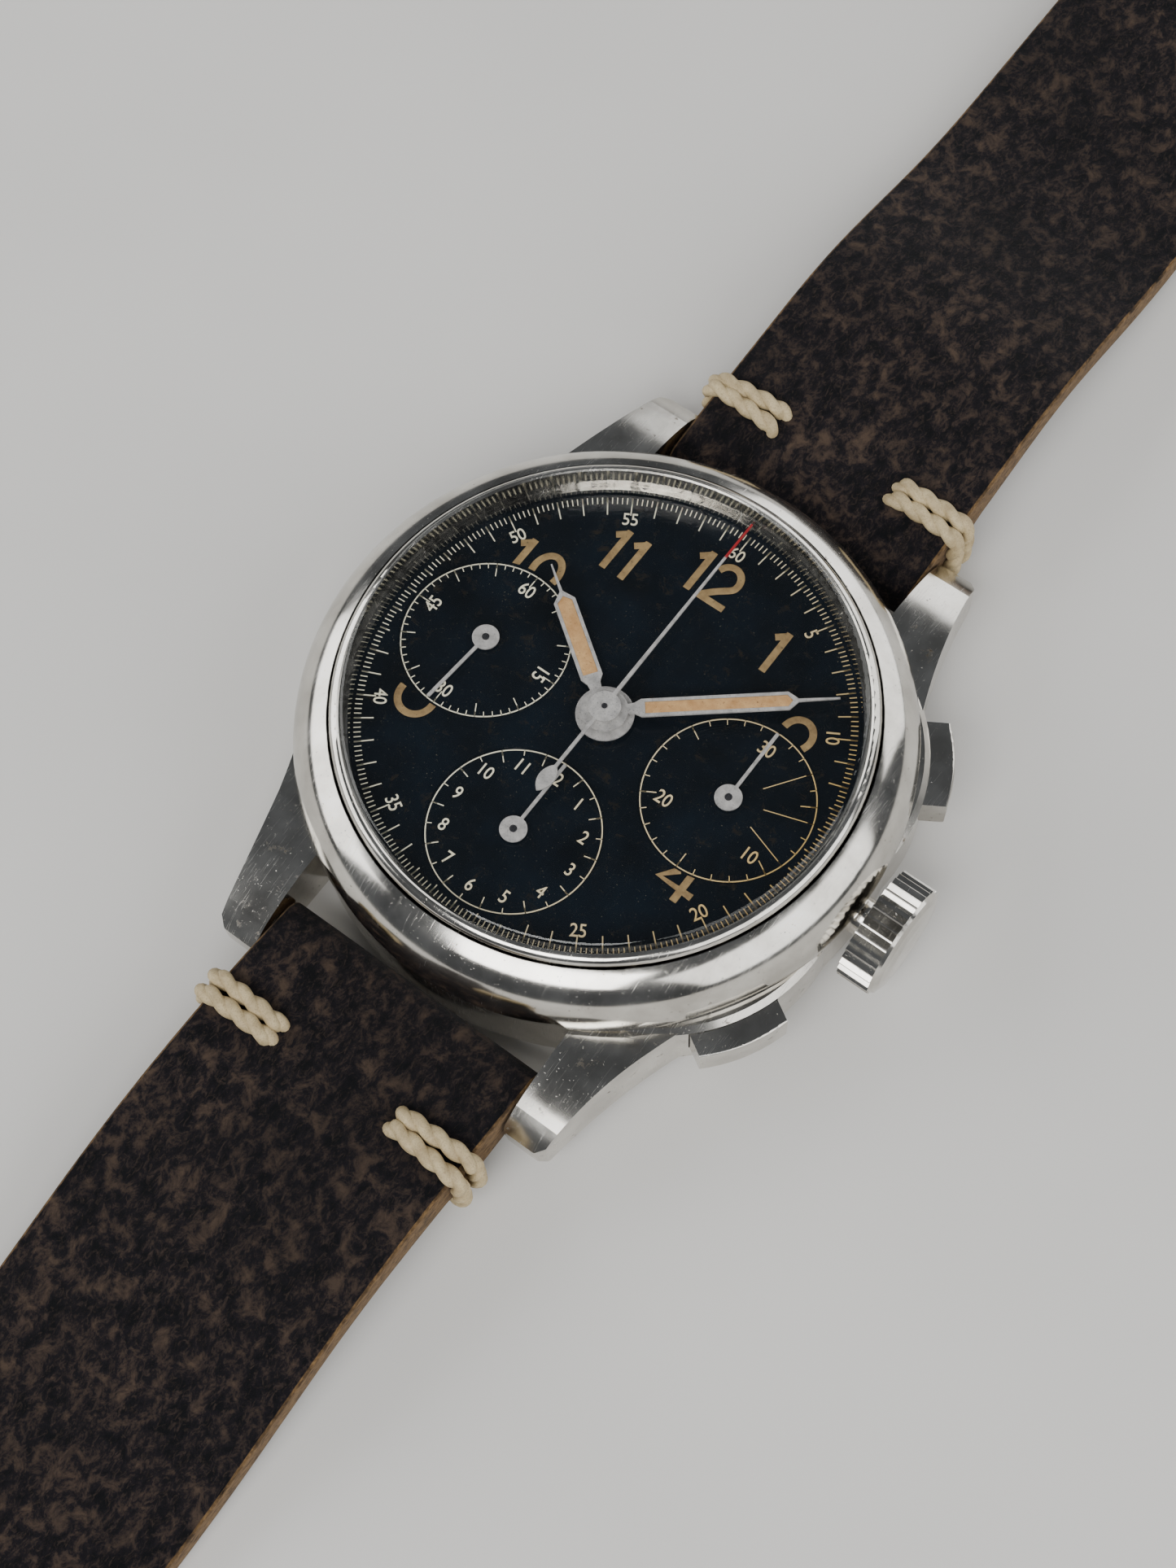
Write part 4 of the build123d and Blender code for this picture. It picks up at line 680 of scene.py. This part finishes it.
def handFill(name, lengthMm, widthMm, neckMm, bossMm, headingDegrees, base):
    # luminous paint in a syringe hand's window: a slab domed across by a bevel
    inset = 0.2
    pointL = lengthMm - neckMm
    outline = [
        (bossMm + 0.95, -widthMm / 2 + inset), (pointL - widthMm * 0.55, -widthMm / 2 + inset),
        (pointL - 0.32, 0), (pointL - widthMm * 0.55, widthMm / 2 - inset),
        (bossMm + 0.95, widthMm / 2 - inset)]
    deselectAll()
    bpy.ops.mesh.primitive_plane_add(size=1)
    fill = bpy.context.object
    shape = bmesh.new()
    corners = [shape.verts.new((x * mm, y * mm, 0)) for x, y in outline]
    shape.faces.new(corners)
    shape.to_mesh(fill.data)
    shape.free()
    bpy.ops.object.mode_set(mode="EDIT")
    bpy.ops.mesh.select_all(action="SELECT")
    bpy.ops.mesh.extrude_region_move(TRANSFORM_OT_translate={"value": (0, 0, 0.15 * mm)})
    bpy.ops.object.mode_set(mode="OBJECT")
    soft = fill.modifiers.new("soft", "BEVEL")
    soft.width = 0.06 * mm
    soft.segments = 3
    bpy.ops.object.modifier_apply(modifier="soft")
    bpy.ops.object.shade_smooth_by_angle()
    turn = Matrix.Rotation(math.radians(headingDegrees), 4, "Z")
    fill.data.transform(Matrix.Translation((0, 0, base)) @ turn)
    return settle(fill, name, handLume)


track = centralTrack()
registers = registerPrint()
figures = hourFigures()
for piece in (track, registers, figures):
    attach(piece, "case")
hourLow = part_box("hour_hand")[0][2]
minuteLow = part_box("minute_hand")[0][2]
hourFill = handFill("hour_hand_lume", 10.2, 1.3, 1.9, 1.7, 144.5, hourLow + 0.01 * mm)
minuteFill = handFill("minute_hand_lume", 13.4, 1.12, 2.35, 1.35, 39.0, minuteLow + 0.01 * mm)
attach(hourFill, "hour")
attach(minuteFill, "centre")
print("dial printed")


# ---- strap leather

def suede(name, settings):
    # brushed suede calf, dyed near black and rubbed: matted nap over a brown hide, with tan raw edges
    material, tree, shader = newMaterial(name)
    place = addNode(tree, "TexCoord", {}, "Object")
    matted = noise(tree, place, 1.15, 8.0, 0.7, (1, 0.8, 1), (0, 0, 0.4), 0.35)
    fibres = noise(tree, place, 0.3, 6.0, 0.75, (1, 0.5, 1), (0, 0, 0.5), 0.8)
    broad = noise(tree, place, 9.0, 3.0)
    dye = addNode(
        tree, "ValToRGB",
        {0: matted, "stops": [(0.4, settings["deep"]), (0.51, settings["dye"]), (0.66, settings["rubbed"])]})
    nap = addNode(
        tree, "Mix",
        {
            "data_type": "RGBA", 0: addNode(tree, "MapRange", {0: fibres, 1: 0.5, 2: 0.68, 3: 0, 4: 0.8}),
            6: dye, 7: settings["fibre"]},
        2)
    nap = addNode(
        tree, "Mix",
        {
            "data_type": "RGBA", 0: addNode(tree, "MapRange", {0: broad, 1: 0.4, 2: 0.7, 3: 0, 4: 0.35}),
            6: nap, 7: settings["deep"]},
        2)
    edge = addNode(tree, "Attribute", {"attribute_name": "cutEdge"}, "Fac")
    ragged = addNode(
        tree, "Math",
        {
            "operation": "ADD", 0: edge,
            1: addNode(tree, "MapRange", {0: matted, 1: 0.3, 2: 0.7, 3: -0.25, 4: 0.25})})
    edgeTone = addNode(
        tree, "Mix",
        {
            "data_type": "RGBA", 0: addNode(tree, "MapRange", {0: fibres, 1: 0.4, 2: 0.65}),
            6: settings["edge"], 7: settings["edgeDark"]},
        2)
    tree.links.new(
        addNode(
            tree, "Mix",
            {
                "data_type": "RGBA", 0: addNode(tree, "MapRange", {0: ragged, 1: 0.62, 2: 0.92}), 6: nap,
                7: edgeTone},
            2),
        shader.inputs["Base Color"])
    tree.links.new(
        addNode(tree, "MapRange", {0: fibres, 1: 0.3, 2: 0.7, 3: 0.84, 4: 0.98}), shader.inputs["Roughness"])
    shader.inputs["Sheen Weight"].default_value = 0.06
    shader.inputs["Sheen Roughness"].default_value = 0.5
    shader.inputs["Specular IOR Level"].default_value = 0.12
    low = addNode(tree, "Bump", {"Height": matted, "Distance": 0.12 * mm, "Strength": 0.7})
    tree.links.new(
        addNode(tree, "Bump", {"Height": fibres, "Distance": 0.05 * mm, "Strength": 0.8, "Normal": low}),
        shader.inputs["Normal"])
    return material


suedeLook = {
    "deep": "07080b", "dye": "151216", "rubbed": "483b31", "fibre": "3f342e", "edge": "7a6040",
    "edgeDark": "3a2b1c"}
calf = suede("brushedSuedeCalf", suedeLook)
strapLook = {"step": 0.8, "round": 0.22, "across": 22, "wave": 0.12}


def strapPiece(name, node, holes):
    # a lofted hide: the CAD strap's top and underside are felt at each step, then joined by rounded edges
    source = nodes[node]
    mesh = source.data
    tree = BVHTree.FromPolygons([v.co.copy() for v in mesh.vertices], [p.vertices[:] for p in mesh.polygons])
    low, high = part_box(node)
    sign = 1 if high[1] > -low[1] else -1
    near = min(abs(low[1]), abs(high[1]))
    far = max(abs(low[1]), abs(high[1]))
    shape = bmesh.new()
    edgeLayer = shape.verts.layers.float.new("cutEdge")
    rings = []
    count = int((far - near) / (strapLook["step"] * mm))
    across = strapLook["across"]
    for n in range(count + 1):
        t = n / count
        along = near + 0.02 * mm + (far - near - 0.04 * mm) * t
        if n < 5:
            along = near + 0.02 * mm + 0.8 * mm * (n / 4) ** 2 if n else near + 0.02 * mm
        y = sign * along
        probe = 5.2 * mm
        down = tree.ray_cast(Vector((probe, y, 0.05)), Vector((0, 0, -1)))
        rise = tree.ray_cast(Vector((probe, y, -0.05)), Vector((0, 0, 1)))
        if down[0] is None or rise[0] is None:
            probe = 0.3 * mm
            down = tree.ray_cast(Vector((probe, y, 0.05)), Vector((0, 0, -1)))
            rise = tree.ray_cast(Vector((probe, y, -0.05)), Vector((0, 0, 1)))
        if down[0] is None or rise[0] is None:
            continue
        zTop, zLow = down[0].z, rise[0].z
        side = tree.ray_cast(
            Vector((0.05, y, (zTop + zLow) / 2 if n > 8 else zTop - 0.3 * mm)), Vector((-1, 0, 0)))
        half = side[0].x if side[0] is not None and side[0].x > 0 else 0.5 * mm
        half -= 0.02 * mm
        edgeR = min(strapLook["round"] * mm, (zTop - zLow) * 0.45, half * 0.8)
        ring = []
        for s in range(across + 1):
            ring.append((-half + edgeR + (2 * half - 2 * edgeR) * s / across, zTop, 0.0))
        for degrees in (67.5, 45, 22.5):
            a = math.radians(degrees)
            ring.append((half - edgeR + edgeR * math.cos(a), zTop - edgeR + edgeR * math.sin(a), 0.85))
        ring += [(half, zTop - edgeR - (zTop - zLow - 2 * edgeR) * k / 3, 1.0) for k in range(4)]
        for degrees in (22.5, 45, 67.5):
            a = math.radians(degrees)
            ring.append((half - edgeR + edgeR * math.cos(a), zLow + edgeR - edgeR * math.sin(a), 0.85))
        for s in range(across + 1):
            ring.append((half - edgeR - (2 * half - 2 * edgeR) * s / across, zLow, 0.0))
        for degrees in (67.5, 45, 22.5):
            a = math.radians(degrees)
            ring.append((-half + edgeR - edgeR * math.cos(a), zLow + edgeR - edgeR * math.sin(a), 0.85))
        ring += [(-half, zLow + edgeR + (zTop - zLow - 2 * edgeR) * k / 3, 1.0) for k in range(4)]
        for degrees in (22.5, 45, 67.5):
            a = math.radians(degrees)
            ring.append((-half + edgeR - edgeR * math.cos(a), zTop - edgeR + edgeR * math.sin(a), 0.85))
        loop = []
        for x, z, edge in ring:
            ripple = strapLook["wave"] * mm * 0.5 * (math.sin(x * 420 + y * 95) * math.sin(y * 260 + x * 130))
            drop = ripple - abs(ripple) if z == zTop else 0
            vert = shape.verts.new((x, y, z + drop * 0.5))
            vert[edgeLayer] = edge
            loop.append(vert)
        rings.append(loop)
    for first, second in zip(rings, rings[1:]):
        size = len(first)
        for s in range(size):
            shape.faces.new((first[s], first[(s + 1) % size], second[(s + 1) % size], second[s]))
    shape.faces.new(rings[0])
    shape.faces.new(list(reversed(rings[-1])))
    bmesh.ops.recalc_face_normals(shape, faces=shape.faces)
    newMesh = bpy.data.meshes.new(name)
    shape.to_mesh(newMesh)
    shape.free()
    strap = bpy.data.objects.new(name, newMesh)
    bpy.context.collection.objects.link(strap)
    for where in holes:
        deselectAll()
        bpy.ops.mesh.primitive_cylinder_add(
            vertices=28, radius=1.0 * mm, depth=12 * mm, location=(0, where, 1 * mm))
        cutter = bpy.context.object
        deselectAll()
        bpy.context.view_layer.objects.active = strap
        strap.select_set(True)
        cut = strap.modifiers.new("hole", "BOOLEAN")
        cut.object = cutter
        bpy.ops.object.modifier_apply(modifier="hole")
        bpy.data.objects.remove(cutter)
    settle(strap, name, calf)
    deselectAll()
    strap.select_set(True)
    bpy.context.view_layer.objects.active = strap
    bpy.ops.object.shade_smooth_by_angle(angle=math.radians(50))
    return strap


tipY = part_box("strap_6")[0][1]
tongueHoles = {"first": 25.0, "apart": 6.5, "count": 7}
holePlaces = [
    tipY + (tongueHoles["first"] + tongueHoles["apart"] * n) * mm
    for n in range(tongueHoles["count"])]
strap12 = strapPiece("strap_buckle_half", "strap_12", [])
strap6 = strapPiece("strap_tip_half", "strap_6", holePlaces)
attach(strap12, "strap_12_body")
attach(strap6, "strap_6_body")
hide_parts("strap_12")
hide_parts("strap_6")


def keeperPiece(name, node):
    # a folded leather band: the CAD band's copy, its edges eased
    deselectAll()
    source = nodes[node]
    band = bpy.data.objects.new(name, source.data.copy())
    bpy.context.collection.objects.link(band)
    band.select_set(True)
    bpy.context.view_layer.objects.active = band
    bpy.ops.object.mode_set(mode="EDIT")
    bpy.ops.mesh.select_all(action="SELECT")
    bpy.ops.mesh.remove_doubles(threshold=0.000002)
    bpy.ops.mesh.tris_convert_to_quads()
    bpy.ops.object.mode_set(mode="OBJECT")
    soft = band.modifiers.new("soft", "BEVEL")
    soft.width = 0.18 * mm
    soft.segments = 3
    soft.limit_method = "ANGLE"
    bpy.ops.object.modifier_apply(modifier="soft")
    settle(band, name, calf)
    deselectAll()
    band.select_set(True)
    bpy.context.view_layer.objects.active = band
    bpy.ops.object.shade_smooth_by_angle(angle=math.radians(40))
    return band


for node, body in (("fixed_keeper", "strap_12_body"), ("sliding_keeper", "loose_keeper")):
    band = keeperPiece(node + "_leather", node)
    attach(band, body)
    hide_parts(node)
print("leather done")


# ---- waxed linen stitches that wrap the strap's edges beside the lugs

def waxedLinen():
    # two-ply linen thread, beeswaxed: beige, slightly shiny, darker in its furrows
    material, tree, shader = newMaterial("waxedLinenThread")
    place = addNode(tree, "TexCoord", {}, "Object")
    cloud = noise(tree, place, 0.8, 3.0)
    fibre = noise(tree, place, 0.09, 3.0, 0.6, (1, 1, 1), (0, 0, 0.6))
    tone = addNode(tree, "ValToRGB", {0: cloud, "stops": [(0.3, "a3906c"), (0.7, "c9b78f")]})
    tree.links.new(
        addNode(
            tree, "Mix",
            {
                "data_type": "RGBA",
                0: addNode(tree, "MapRange", {0: fibre, 1: 0.5, 2: 0.7, 3: 0, 4: 0.55}), 6: tone,
                7: "7d6b4b"},
            2),
        shader.inputs["Base Color"])
    tree.links.new(
        addNode(tree, "MapRange", {0: fibre, 1: 0.3, 2: 0.7, 3: 0.45, 4: 0.7}), shader.inputs["Roughness"])
    tree.links.new(
        addNode(tree, "Bump", {"Height": fibre, "Distance": 0.03 * mm, "Strength": 0.8}),
        shader.inputs["Normal"])
    return material


linen = waxedLinen()
stitchLook = {
    "strapEdge": 8.85, "inner": 4.3, "apart": 1.04, "ply": 0.4, "offset": 0.17, "twistMm": 2.8,
    "clear": 0.42, "sides": 12}


def stitchPath(side, y, top, low, half, look):
    # from the top hole out over the edge and back underneath, as points in X and Z
    clear = look["clear"]
    points = [
        (look["inner"], top - 0.7), (look["inner"] + 0.02, top - 0.1),
        (look["inner"] + 0.35, top + clear * 0.9)]
    steps = 7
    for n in range(steps + 1):
        t = n / steps
        points.append(
            (
                look["inner"] + 0.35 + (half - 0.3 - look["inner"] - 0.35) * t,
                top + clear * (1 + 0.2 * math.sin(math.pi * t))))
    for degrees in (60, 30, 0):
        a = math.radians(degrees)
        points.append((half - 0.25 + (clear + 0.25) * math.cos(a), top - 0.3 + (clear + 0.3) * math.sin(a)))
    points.append((half + clear, (top + low) / 2))
    for degrees in (0, 30, 60):
        a = math.radians(degrees)
        points.append((half - 0.25 + (clear + 0.25) * math.cos(a), low + 0.3 - (clear + 0.3) * math.sin(a)))
    points += [(half - 1.2, low - clear), (look["inner"] + 0.4, low - clear), (look["inner"], low + 0.5)]
    return [Vector((side * x * mm, y * mm, z * mm)) for x, z in points]


def twistedThread(shape, points, look, phase):
    # two plies wound round the path, each a closed tube
    dense = []
    for a, b in zip(points, points[1:]):
        pieces = max(2, int((b - a).length / (0.14 * mm)))
        dense += [a.lerp(b, n / pieces) for n in range(pieces)]
    dense.append(points[-1])
    for _ in range(6):
        middle = [(dense[n - 1] + dense[n] * 2 + dense[n + 1]) / 4 for n in range(1, len(dense) - 1)]
        dense = [dense[0]] + middle + [dense[-1]]
    for ply in (0, math.pi):
        run = 0.0
        rings = []
        for n, point in enumerate(dense):
            if n:
                run += (point - dense[n - 1]).length
            ahead = dense[min(n + 1, len(dense) - 1)] - dense[max(n - 1, 0)]
            ahead.normalize()
            sideways = Vector((0, 1, 0))
            out = ahead.cross(sideways)
            turn = phase + ply + 2 * math.pi * run / (look["twistMm"] * mm)
            heart = point + (sideways * math.cos(turn) + out * math.sin(turn)) * look["offset"] * mm
            ring = []
            for s in range(look["sides"]):
                a = 2 * math.pi * s / look["sides"]
                ring.append(
                    shape.verts.new(heart + (sideways * math.cos(a) + out * math.sin(a)) * look["ply"] * mm))
            rings.append(ring)
        for first, second in zip(rings, rings[1:]):
            for s in range(look["sides"]):
                k = (s + 1) % look["sides"]
                shape.faces.new((first[s], first[k], second[k], second[s]))
        shape.faces.new(list(reversed(rings[0])))
        shape.faces.new(rings[-1])


def stitches(name, strap, side, y, seed):
    mesh = strap.data
    tree = BVHTree.FromPolygons([v.co.copy() for v in mesh.vertices], [p.vertices[:] for p in mesh.polygons])
    look = stitchLook
    rng = random.Random(seed)
    shape = bmesh.new()
    for n in (-0.5, 0.5):
        at = y + n * look["apart"]
        top = tree.ray_cast(Vector((side * 6 * mm, at * mm, 0.05)), Vector((0, 0, -1)))[0].z / mm
        low = tree.ray_cast(Vector((side * 6 * mm, at * mm, -0.05)), Vector((0, 0, 1)))[0].z / mm
        points = stitchPath(side, at, top, low, look["strapEdge"], look)
        lean = rng.uniform(-0.25, 0.25)
        points = [p + Vector((0, lean * mm * (abs(p.x) / mm - 6) / 3, 0)) for p in points]
        twistedThread(shape, points, look, rng.uniform(0, 6))
    bmesh.ops.recalc_face_normals(shape, faces=shape.faces)
    mesh = bpy.data.meshes.new(name)
    shape.to_mesh(mesh)
    shape.free()
    thread = bpy.data.objects.new(name, mesh)
    bpy.context.collection.objects.link(thread)
    settle(thread, name, linen)
    deselectAll()
    thread.select_set(True)
    bpy.context.view_layer.objects.active = thread
    bpy.ops.object.shade_smooth()
    return thread


stitchRows = {"strap12": 23.7, "strap6": -25.2}
for side, word in ((-1, "left"), (1, "right")):
    upper = stitches("stitch_12_" + word, strap12, side, stitchRows["strap12"], 3 + side)
    lower = stitches("stitch_6_" + word, strap6, side, stitchRows["strap6"], 13 + side)
    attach(upper, "strap_12_body")
    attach(lower, "strap_6_body")
print("stitches sewn")


# ---- floor, light and camera

def studio():
    deselectAll()
    bpy.ops.mesh.primitive_plane_add(size=8, location=(0, 0, -0.00002))
    floor = bpy.context.object
    floor.name = "studio_floor"
    material, tree, shader = newMaterial("paleMattFloor")
    tone = noise(tree, addNode(tree, "TexCoord", {}, "Object"), 40.0, 3.0)
    tree.links.new(
        addNode(tree, "ValToRGB", {0: tone, "stops": [(0.3, "d3d1cd"), (0.7, "dad8d4")]}),
        shader.inputs["Base Color"])
    shader.inputs["Roughness"].default_value = 0.85
    floor.data.materials.append(material)
    world = bpy.data.worlds.new("studioSky")
    world.use_nodes = True
    sky = next(n for n in world.node_tree.nodes if n.type == "BACKGROUND")
    sky.inputs["Color"].default_value = linear("ccd2da")
    sky.inputs["Strength"].default_value = 0.16
    bpy.context.scene.world = world
    lamps = [("key", (0.12, -0.46, 0.56), 0.5, 4.2), ("side", (-0.62, -0.2, 0.34), 0.7, 3.4),
             ("fill", (0.62, 0.0, 0.36), 0.8, 3.4), ("back", (0.1, 0.65, 0.26), 0.7, 2.4)]
    for name, where, size, power in lamps:
        lamp = bpy.data.lights.new(name + "Softbox", "AREA")
        lamp.shape = "RECTANGLE"
        lamp.size = size
        lamp.size_y = size * 0.7
        lamp.energy = power
        thing = bpy.data.objects.new(name + "Softbox", lamp)
        bpy.context.collection.objects.link(thing)
        thing.location = where
        thing.rotation_euler = (-Vector(where)).to_track_quat("-Z", "Y").to_euler()


cameraView = {
    "azimuth": 41.013, "elevation": 66.425, "roll": -4.651, "away": 136.98, "target": (1.693, -3.909),
    "lens": 55.58}


def placeCamera():
    v = cameraView
    az, el, roll = (math.radians(v[k]) for k in ("azimuth", "elevation", "roll"))
    back = Vector((math.sin(az) * math.cos(el), -math.cos(az) * math.cos(el), math.sin(el)))
    right = Vector((math.cos(az), math.sin(az), 0))
    up = back.cross(right)
    tiltRight = right * math.cos(roll) + up * math.sin(roll)
    tiltUp = up * math.cos(roll) - right * math.sin(roll)
    target = Vector((v["target"][0] * mm, v["target"][1] * mm, dialTop))
    place = Matrix((tiltRight, tiltUp, back)).transposed().to_4x4()
    place.translation = target + back * v["away"] * mm
    data = bpy.data.cameras.new("camera")
    data.lens = v["lens"]
    data.clip_start = 0.001
    camera = bpy.data.objects.new("camera", data)
    bpy.context.collection.objects.link(camera)
    camera.matrix_world = place
    bpy.context.scene.camera = camera


studio()
placeCamera()
print("studio set")
